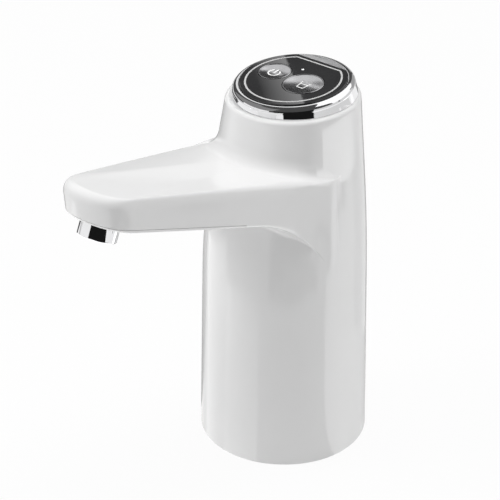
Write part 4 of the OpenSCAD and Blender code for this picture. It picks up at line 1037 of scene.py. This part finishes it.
key_satin = surface("key_satin", grey(0.48, 0.01), grey(0.53, 0.01), (240, 3), (0.12, 0.16), (900, 3),
                    ((1200, 2), 0.02, 0.00001), {"Metallic": 1})
on_power = on_panel @ Matrix.Translation((*POWER_AT, 0))
on_dose = on_panel @ Matrix.Translation((*DOSE_AT, 0))
power_key = turned("power_key_cap", key_profile(POWER_R), on_power, key_satin, False, ROUND_STEPS)
put(power_key, "power_key_body", "key_satin", "power_key")
dose_key = turned("dose_key_cap", key_profile(DOSE_R), on_dose, key_satin, False, ROUND_STEPS)
put(dose_key, "dose_key_body", "key_satin", "dose_key")
dress(dark_plastic, "power_plunger", "dose_plunger", "key_switches", "board_chips")
dress(steel, "board_screws")

# Marks on the keys
# The standby mark on the small key and a plain tumbler on the large one, printed in
# white ink on the dished faces.
INK_SEAT = 0.004
mark_ink = surface("white_ink", grey(0.86), grey(0.92), (2600, 2), (0.4, 0.5), (1800, 2))


def printed_stroke(shape, points, width, place, key_r):
    """A printed stroke of even width that follows the key's dished face."""
    rows = []
    for k, point in enumerate(points):
        run = run_at(points, k)
        side = Vector((-run.y, run.x)) * width / 2
        row = []
        for shift, lift in ((side, 0), (side, ink_lift), (-side, ink_lift), (-side, 0)):
            spot = Vector(point) + shift
            z = dish_z(spot.length, key_r) + lift + INK_SEAT
            row.append(shape.verts.new(place @ Vector((spot.x, spot.y, z)) * MM))
        rows.append(row)
    join_all(shape, rows)
    shape.faces.new(rows[0])
    shape.faces.new(rows[-1])


def straight(start, end):
    return [tuple(Vector(start).lerp(Vector(end), k / STROKE_STEPS)) for k in range(STROKE_STEPS + 1)]


STROKE_STEPS = 12
MARK_R = 2.4
MARK_W = 0.7
BAR_LOW = -0.4
BAR_H = 3.3
BAR_STEPS = 10
mark_shift = Vector((-0.2, -0.3))
standby = bmesh.new()
sweep = [tuple(Vector(p) + mark_shift) for p in arc((0, 0), MARK_R, 125, 415, 48)]
printed_stroke(standby, sweep, MARK_W, on_power, POWER_R)
bar = [tuple(Vector((0, BAR_LOW + BAR_H * k / BAR_STEPS)) + mark_shift) for k in range(BAR_STEPS + 1)]
printed_stroke(standby, bar, MARK_W, on_power, POWER_R)
put(as_piece("standby_mark", standby, mark_ink), "power_key_body", "key_satin")

GLASS_W = 0.45
WATER_W = 0.35
WATER_Y = 0.6
glass_half_top = 2.1
glass_half_low = 1.5
glass_h = 4.8
water_half = 1.72
tumbler = bmesh.new()
glass_corners = [(-glass_half_top, glass_h / 2), (-glass_half_low, -glass_h / 2),
                 (glass_half_low, -glass_h / 2), (glass_half_top, glass_h / 2)]
for start, end in zip(glass_corners, glass_corners[1:]):
    printed_stroke(tumbler, straight(start, end), GLASS_W, on_dose, DOSE_R)
printed_stroke(tumbler, straight((-water_half, WATER_Y), (water_half, WATER_Y)), WATER_W, on_dose, DOSE_R)
put(as_piece("tumbler_mark", tumbler, mark_ink), "dose_key_body", "key_satin")

# Status light
# The end of a small clear rod that carries the light of the board up to the panel.
lens_white = surface("lens_white", (0.86, 0.87, 0.88), (0.93, 0.94, 0.95), (2000, 2), (0.15, 0.25), (1500, 2),
                     None, {"Emission Color": (1, 1, 1, 1), "Emission Strength": 0.05})
dress(lens_white, "status_lens")

# Floor
# A wide pale sheet. The camera, mirrors and clear plastic see it white; it still takes
# a soft shadow, and from below it is left open so that the foot can be looked at.
FLOOR_HALF = 4
FLOOR_Z = -0.0002
FLOOR_SEEN = 0.93
FLOOR_BOUNCE = 0.4


def stage_plane(name, corners, finish):
    mesh = bpy.data.meshes.new(name)
    mesh.from_pydata([Vector(c) for c in corners], [], [range(len(corners))])
    mesh.materials.append(finish)
    plane = add_thing(name, mesh)
    return plane


def bare_finish(name):
    """A material with nothing but its output."""
    finish = bpy.data.materials.new(name)
    finish.use_nodes = True
    finish.node_tree.nodes.clear()
    return finish, finish.node_tree, add_node(finish.node_tree, "OutputMaterial")


def mixed(factor, output, plain, other):
    """One shader where a value is 0 and another one where it is 1."""
    mix = add_node(factor.id_data, "MixShader")
    wire(factor, output, mix, "Fac")
    wire(plain, 0, mix, 1)
    wire(other, 0, mix, 2)
    return mix


floor_finish, floor_tree, floor_out = bare_finish("pale_floor")
paper = add_node(floor_tree, "BsdfDiffuse", {"Color": (0.8, 0.8, 0.8, 1)})
white = add_node(floor_tree, "Emission", {"Strength": 1})
open_below = add_node(floor_tree, "BsdfTransparent")
rays = add_node(floor_tree, "LightPath")
facing = add_node(floor_tree, "NewGeometry")
mirror_or_clear = add_node(floor_tree, "Math", operation="MAXIMUM")
bounce = add_node(floor_tree, "Math", {1: FLOOR_BOUNCE}, "MULTIPLY_ADD")
seen_white = add_node(floor_tree, "Math", {1: FLOOR_SEEN}, "MULTIPLY_ADD")
wire(rays, "Is Glossy Ray", mirror_or_clear, 0)
wire(rays, "Is Transmission Ray", mirror_or_clear, 1)
wire(rays, "Is Diffuse Ray", bounce, 0)
wire(mirror_or_clear, "Value", bounce, 2)
wire(rays, "Is Camera Ray", seen_white, 0)
wire(bounce, "Value", seen_white, 2)
from_above = mixed(seen_white, "Value", paper, white)
either_side = mixed(facing, "Backfacing", from_above, open_below)
wire(either_side, "Shader", floor_out, "Surface")
floor_corners = [(x * FLOOR_HALF, y * FLOOR_HALF, FLOOR_Z) for x, y in ((-1, -1), (1, -1), (1, 1), (-1, 1))]
stage_plane("floor", floor_corners, floor_finish)

# Room
# A white room for the camera. Its fill light is weaker from the front right, and mirrors
# see it dark, as a studio's ceiling is.
DIM_SIDE = (0.66, -0.73, 0.17)
FILL_FROM = (-0.1, 1)
FILL_LEVELS = (0.6, 0.3)
room = bpy.data.worlds.new("room")
bpy.context.scene.world = room
room.use_nodes = True
room_tree = room.node_tree
room_light = room_tree.nodes["Background"]
room_light.inputs["Color"].default_value = (1, 1, 1, 1)
room_seen = add_node(room_tree, "Background", {"Color": (1, 1, 1, 1), "Strength": 1})
room_dark = add_node(room_tree, "Background", {"Color": (0.07, 0.07, 0.07, 1), "Strength": 1})
room_place = add_node(room_tree, "TexCoord")
to_dim_side = add_node(room_tree, "VectorMath", {1: DIM_SIDE}, "DOT_PRODUCT")
room_rays = add_node(room_tree, "LightPath")
wire(room_place, "Generated", to_dim_side, 0)
spread(to_dim_side, "Value", FILL_FROM, FILL_LEVELS, room_light, "Strength")
in_mirrors = mixed(room_rays, "Is Glossy Ray", room_light, room_dark)
room_all = mixed(room_rays, "Is Camera Ray", in_mirrors, room_seen)
wire(room_all, "Shader", room_tree.nodes["World Output"], "Surface")

# Lamps and cards
# A broad soft lamp at the left and one overhead. The sheets that only mirrors see lie on
# the floor, stand at the right and go round on a wide circle, and give the gloss and the
# chrome their light and dark bands. One more sheet dims the floor under the spout.
CARD_Z = 0.0003
RIGHT_X = 0.08
NECK_X = 0.045
RIGHT_LIGHT = (2.35, 0.7, 30, 100)
RIGHT_SIDE = (0.033, -0.003, 0)
WALL_FAR = 1.5
WALL_STEPS = 12
LEFT_FAR = 0.9
FRONT_FAR = 1.52
SPOUT_SHEET_Y = 0.4


def lamp(name, spot, aim, size, power):
    data = bpy.data.lights.new(name, "AREA")
    data.shape = "DISK"
    data.size = size
    data.energy = power
    holder = add_thing(name, data)
    holder.location = spot
    holder.rotation_mode = "QUATERNION"
    holder.rotation_quaternion = (Vector(aim) - Vector(spot)).to_track_quat("-Z", "Y")
    holder.visible_glossy = False


def card_light(name, level):
    finish, tree, out = bare_finish(name)
    glow = add_node(tree, "Emission", {"Strength": level})
    wire(glow, "Emission", out, "Surface")
    return finish, tree, glow


def even(name, level):
    """A card's light that is the same all over."""
    return card_light(name, level)[0]


def fading(name, level, far_level, along, start, end):
    """A card's light that falls off evenly in one direction."""
    finish, tree, glow = card_light(name, level)
    place = add_node(tree, "TexCoord")
    across = add_node(tree, "VectorMath", {1: along}, "DOT_PRODUCT")
    wire(place, "Object", across, 0)
    spread(across, "Value", (start, end), (level, far_level), glow, "Strength")
    return finish


def turning(name, level, far_level, start, end):
    """A card's light that falls off with the direction from the body's right side, in degrees."""
    finish, tree, glow = card_light(name, level)
    place = add_node(tree, "TexCoord")
    shift = add_node(tree, "VectorMath", {1: RIGHT_SIDE}, "SUBTRACT")
    split = add_node(tree, "SeparateXYZ")
    angle = add_node(tree, "Math", operation="ARCTAN2")
    wire(place, "Object", shift, 0)
    wire(shift, "Vector", split, "Vector")
    wire(split, "Y", angle, 0)
    wire(split, "X", angle, 1)
    limits = (math.radians(start), math.radians(end))
    spread(angle, "Value", limits, (level, far_level), glow, "Strength")
    return finish


def unseen_plane(name, corners, finish):
    card = stage_plane(name, corners, finish)
    card.visible_camera = False
    card.visible_shadow = False
    card.visible_transmission = False
    return card


def mirror_card(name, corners, finish):
    """A sheet that only mirrors see."""
    unseen_plane(name, corners, finish).visible_diffuse = False


def floor_card(name, corners, finish):
    mirror_card(name, [(x, y, CARD_Z) for x, y in corners], finish)


def shade_card(name, corners, level):
    """A sheet that dims the floor's bounce; from below it lets light through."""
    finish, tree, glow = card_light(name, level)
    side = add_node(tree, "NewGeometry")
    through = add_node(tree, "BsdfTransparent")
    either = mixed(side, "Backfacing", glow, through)
    wire(either, "Shader", tree.nodes["Material Output"], "Surface")
    unseen_plane(name, [(x, y, CARD_Z) for x, y in corners], finish).visible_glossy = False


def around(bearing, radius):
    """A floor point at a bearing from the spout's direction, counted to the right."""
    return (radius * sin_d(bearing), -radius * cos_d(bearing))


def far_points(radius, *bearings):
    return [around(bearing, radius) for bearing in bearings]


def wall_card(name, bearings, low, high, level):
    """An upright sheet on a wide circle round the object."""
    finish = even(name, level)
    step = (bearings[1] - bearings[0]) / WALL_STEPS
    spots = [around(bearings[0] + step * k, WALL_FAR) for k in range(WALL_STEPS + 1)]
    for k, (first, last) in enumerate(zip(spots, spots[1:])):
        corners = [(*first, low), (*last, low), (*last, high), (*first, high)]
        mirror_card(f"{name}_{k + 1}", corners, finish)


middle = (0, -0.02, 0.1)
lamp("left_lamp", (-0.73, -0.77, 1.1), middle, 0.8, 6.9)
lamp("top_lamp", (0.1, 0.2, 1.3), middle, 1.0, 7.5)
floor_card("right_floor", [(0.03, -0.0075), (RIGHT_X, -0.004), (RIGHT_X, 0.1), (-0.02, 0.1), (0.02, 0.02)],
           turning("right_floor", *RIGHT_LIGHT))
low_corners = [(-0.004, 0), (0.1, 0), (0.1, 0.0975), (0.046, 0.104), (0.046, 0.098), (0.026, 0.088),
               (-0.004, 0.064)]
mirror_card("right_low", [(RIGHT_X, y, z) for y, z in low_corners], turning("right_low", *RIGHT_LIGHT))
high_corners = [(-0.0085, 0.1215), (0.03, 0.1185), (0.058, 0.115), (0.12, 0.105), (0.12, 0.146),
                (-0.0085, 0.146)]
mirror_card("right_high", [(NECK_X, y, z) for y, z in high_corners],
            fading("right_high", 4, 1.2, (0, 1, 0), 0.004, 0.055))
floor_card("tip_sheet", [(0.18, -0.19), (0.285, -0.19), (0.285, -0.03), (0.2, -0.03)],
           even("tip_sheet", 0.05))
shade_card("shade_sheet", [(-0.04, -0.15), (0.04, -0.15), (0.04, -0.075), (-0.04, -0.075)], 0.3)
floor_card("near_sheet", [(-0.0025, -0.0359), (-0.13, -0.151), (-0.05, -0.2), (0.03, -0.2), (0.014, -0.034)],
           fading("near_sheet", 2.3, 1.35, (0.669, -0.743, 0), 0.025, 0.15))
ring_left = far_points(1.45, -110, -90, -70, -50, -24) + far_points(LEFT_FAR, -24, -50, -80, -110)
for name, level, corners in (
    ("notch_sheet", 0.35, [(0.235, 0.035), (0.285, 0.035), (0.285, 0.062), (0.235, 0.062)]),
    ("far_sheet", 0.76, [(0.95, -0.27), (1.48, -0.42), (1.48, 0.9), (0.5, 1.2), (0.4, 0.6), (0.95, 0.3)]),
    ("left_sheet", 1.75, [(-0.0158, -0.0324), (-0.24, -0.0165), (-0.24, -0.25), (-0.0025, -0.0359)]),
    ("dark_sheet", 0.1, [around(-82, 0.25), *far_points(LEFT_FAR, -80, -100, -125), around(-125, 0.27)]),
    ("ring_left", 0.55, ring_left),
    ("back_sheet", 0.3, [(-0.02, -0.02), (-0.24, 0.0), (-0.24, 0.07), *far_points(LEFT_FAR, -118, -165),
                         (0.02, 0.03)]),
    ("front_sheet", 0.01, [(0.07, -0.19), *far_points(FRONT_FAR, 21.5, 35, 48, 62, 75), (0.2, -0.06)]),
):
    floor_card(name, corners, even(name, level))
wall_card("left_wall", (-60, -5), 0, 0.5, 1)
wall_card("left_sky", (-95, 0), 0.5, 2.6, 0.25)
wall_card("low_wall", (-110, -60), 0, 0.2, 0.8)
wall_card("front_wall", (-5, 74), 0, 0.6, 0.01)
wall_card("right_wall", (74, 124), 0, 0.6, 0.76)
wall_card("back_wall", (128, 170), 0, 0.6, 0.76)
wall_card("high_wall", (112, 165), 0.6, 1.9, 1.15)
wall_card("rear_wall", (170, 200), 0, 1.3, 0.4)
spout_corners = [(-0.3, 0.174), (-0.52, 0.262), (-0.15, 0.262), (-0.15, 0.174)]
mirror_card("spout_sheet", [(x, SPOUT_SHEET_Y, z) for x, z in spout_corners], even("spout_sheet", 0.5))

# Over the panel
# Three white sheets above the object, which the glossy black panel and the keys mirror as
# a slanting wedge, and the spout's top as its sheen.
EDGE_AT = Vector((-0.3212, 0.3258))
EDGE_RUN = Vector((0.7878, -0.6159))
EDGE_SIDE = Vector((-0.6159, -0.7878))
SHEET_Z = 0.42


def over_sheet(name, outline, level, far_level):
    """A sheet above the object, its outline given as distances across and along the edge."""
    start = EDGE_AT.dot(EDGE_SIDE)
    end = start + max(side for side, run in outline)
    finish = fading(name, level, far_level, (EDGE_SIDE.x, EDGE_SIDE.y, 0), start, end)
    corners = []
    for side, run in outline:
        spot = EDGE_AT + EDGE_RUN * run + EDGE_SIDE * side
        corners.append((spot.x, spot.y, SHEET_Z))
    mirror_card(name, corners, finish)


over_sheet("panel_strip", [(0, -0.2), (0, 0.07), (0.024, 0.07), (0.024, -0.2)], 1.9, 0.15)
over_sheet("key_sheet", [(0.037, -0.3), (0.037, 0.075), (0, 0.075), (0, 0.34), (0.055, 0.33), (0.09, 0.28),
                         (0.115, 0.2), (0.16, 0.05), (0.16, -0.3)], 1.0, 0.85)
over_sheet("high_sheet", [(-0.45, 0.14), (-0.45, 0.62), (-0.04, 0.62), (0, 0.36), (0, 0.1), (-0.03, 0.11),
                          (-0.06, 0.14)], 1.3, 1.3)

# Camera
# A long lens above and to the right of the spout.
CAMERA_TURN = 41.94056
CAMERA_RISE = 28.44865
camera_data = bpy.data.cameras.new("camera")
camera_data.sensor_width = 36
camera_data.lens = 122.35
camera = add_thing("camera", camera_data)
camera.location = (0.405199, -0.472595, 0.420915)
level = cos_d(CAMERA_RISE)
backward = Vector((sin_d(CAMERA_TURN) * level, -cos_d(CAMERA_TURN) * level, sin_d(CAMERA_RISE)))
camera.rotation_mode = "QUATERNION"
camera.rotation_quaternion = (-backward).to_track_quat("-Z", "Y")
bpy.context.scene.camera = camera
bpy.context.scene.view_settings.view_transform = "Standard"
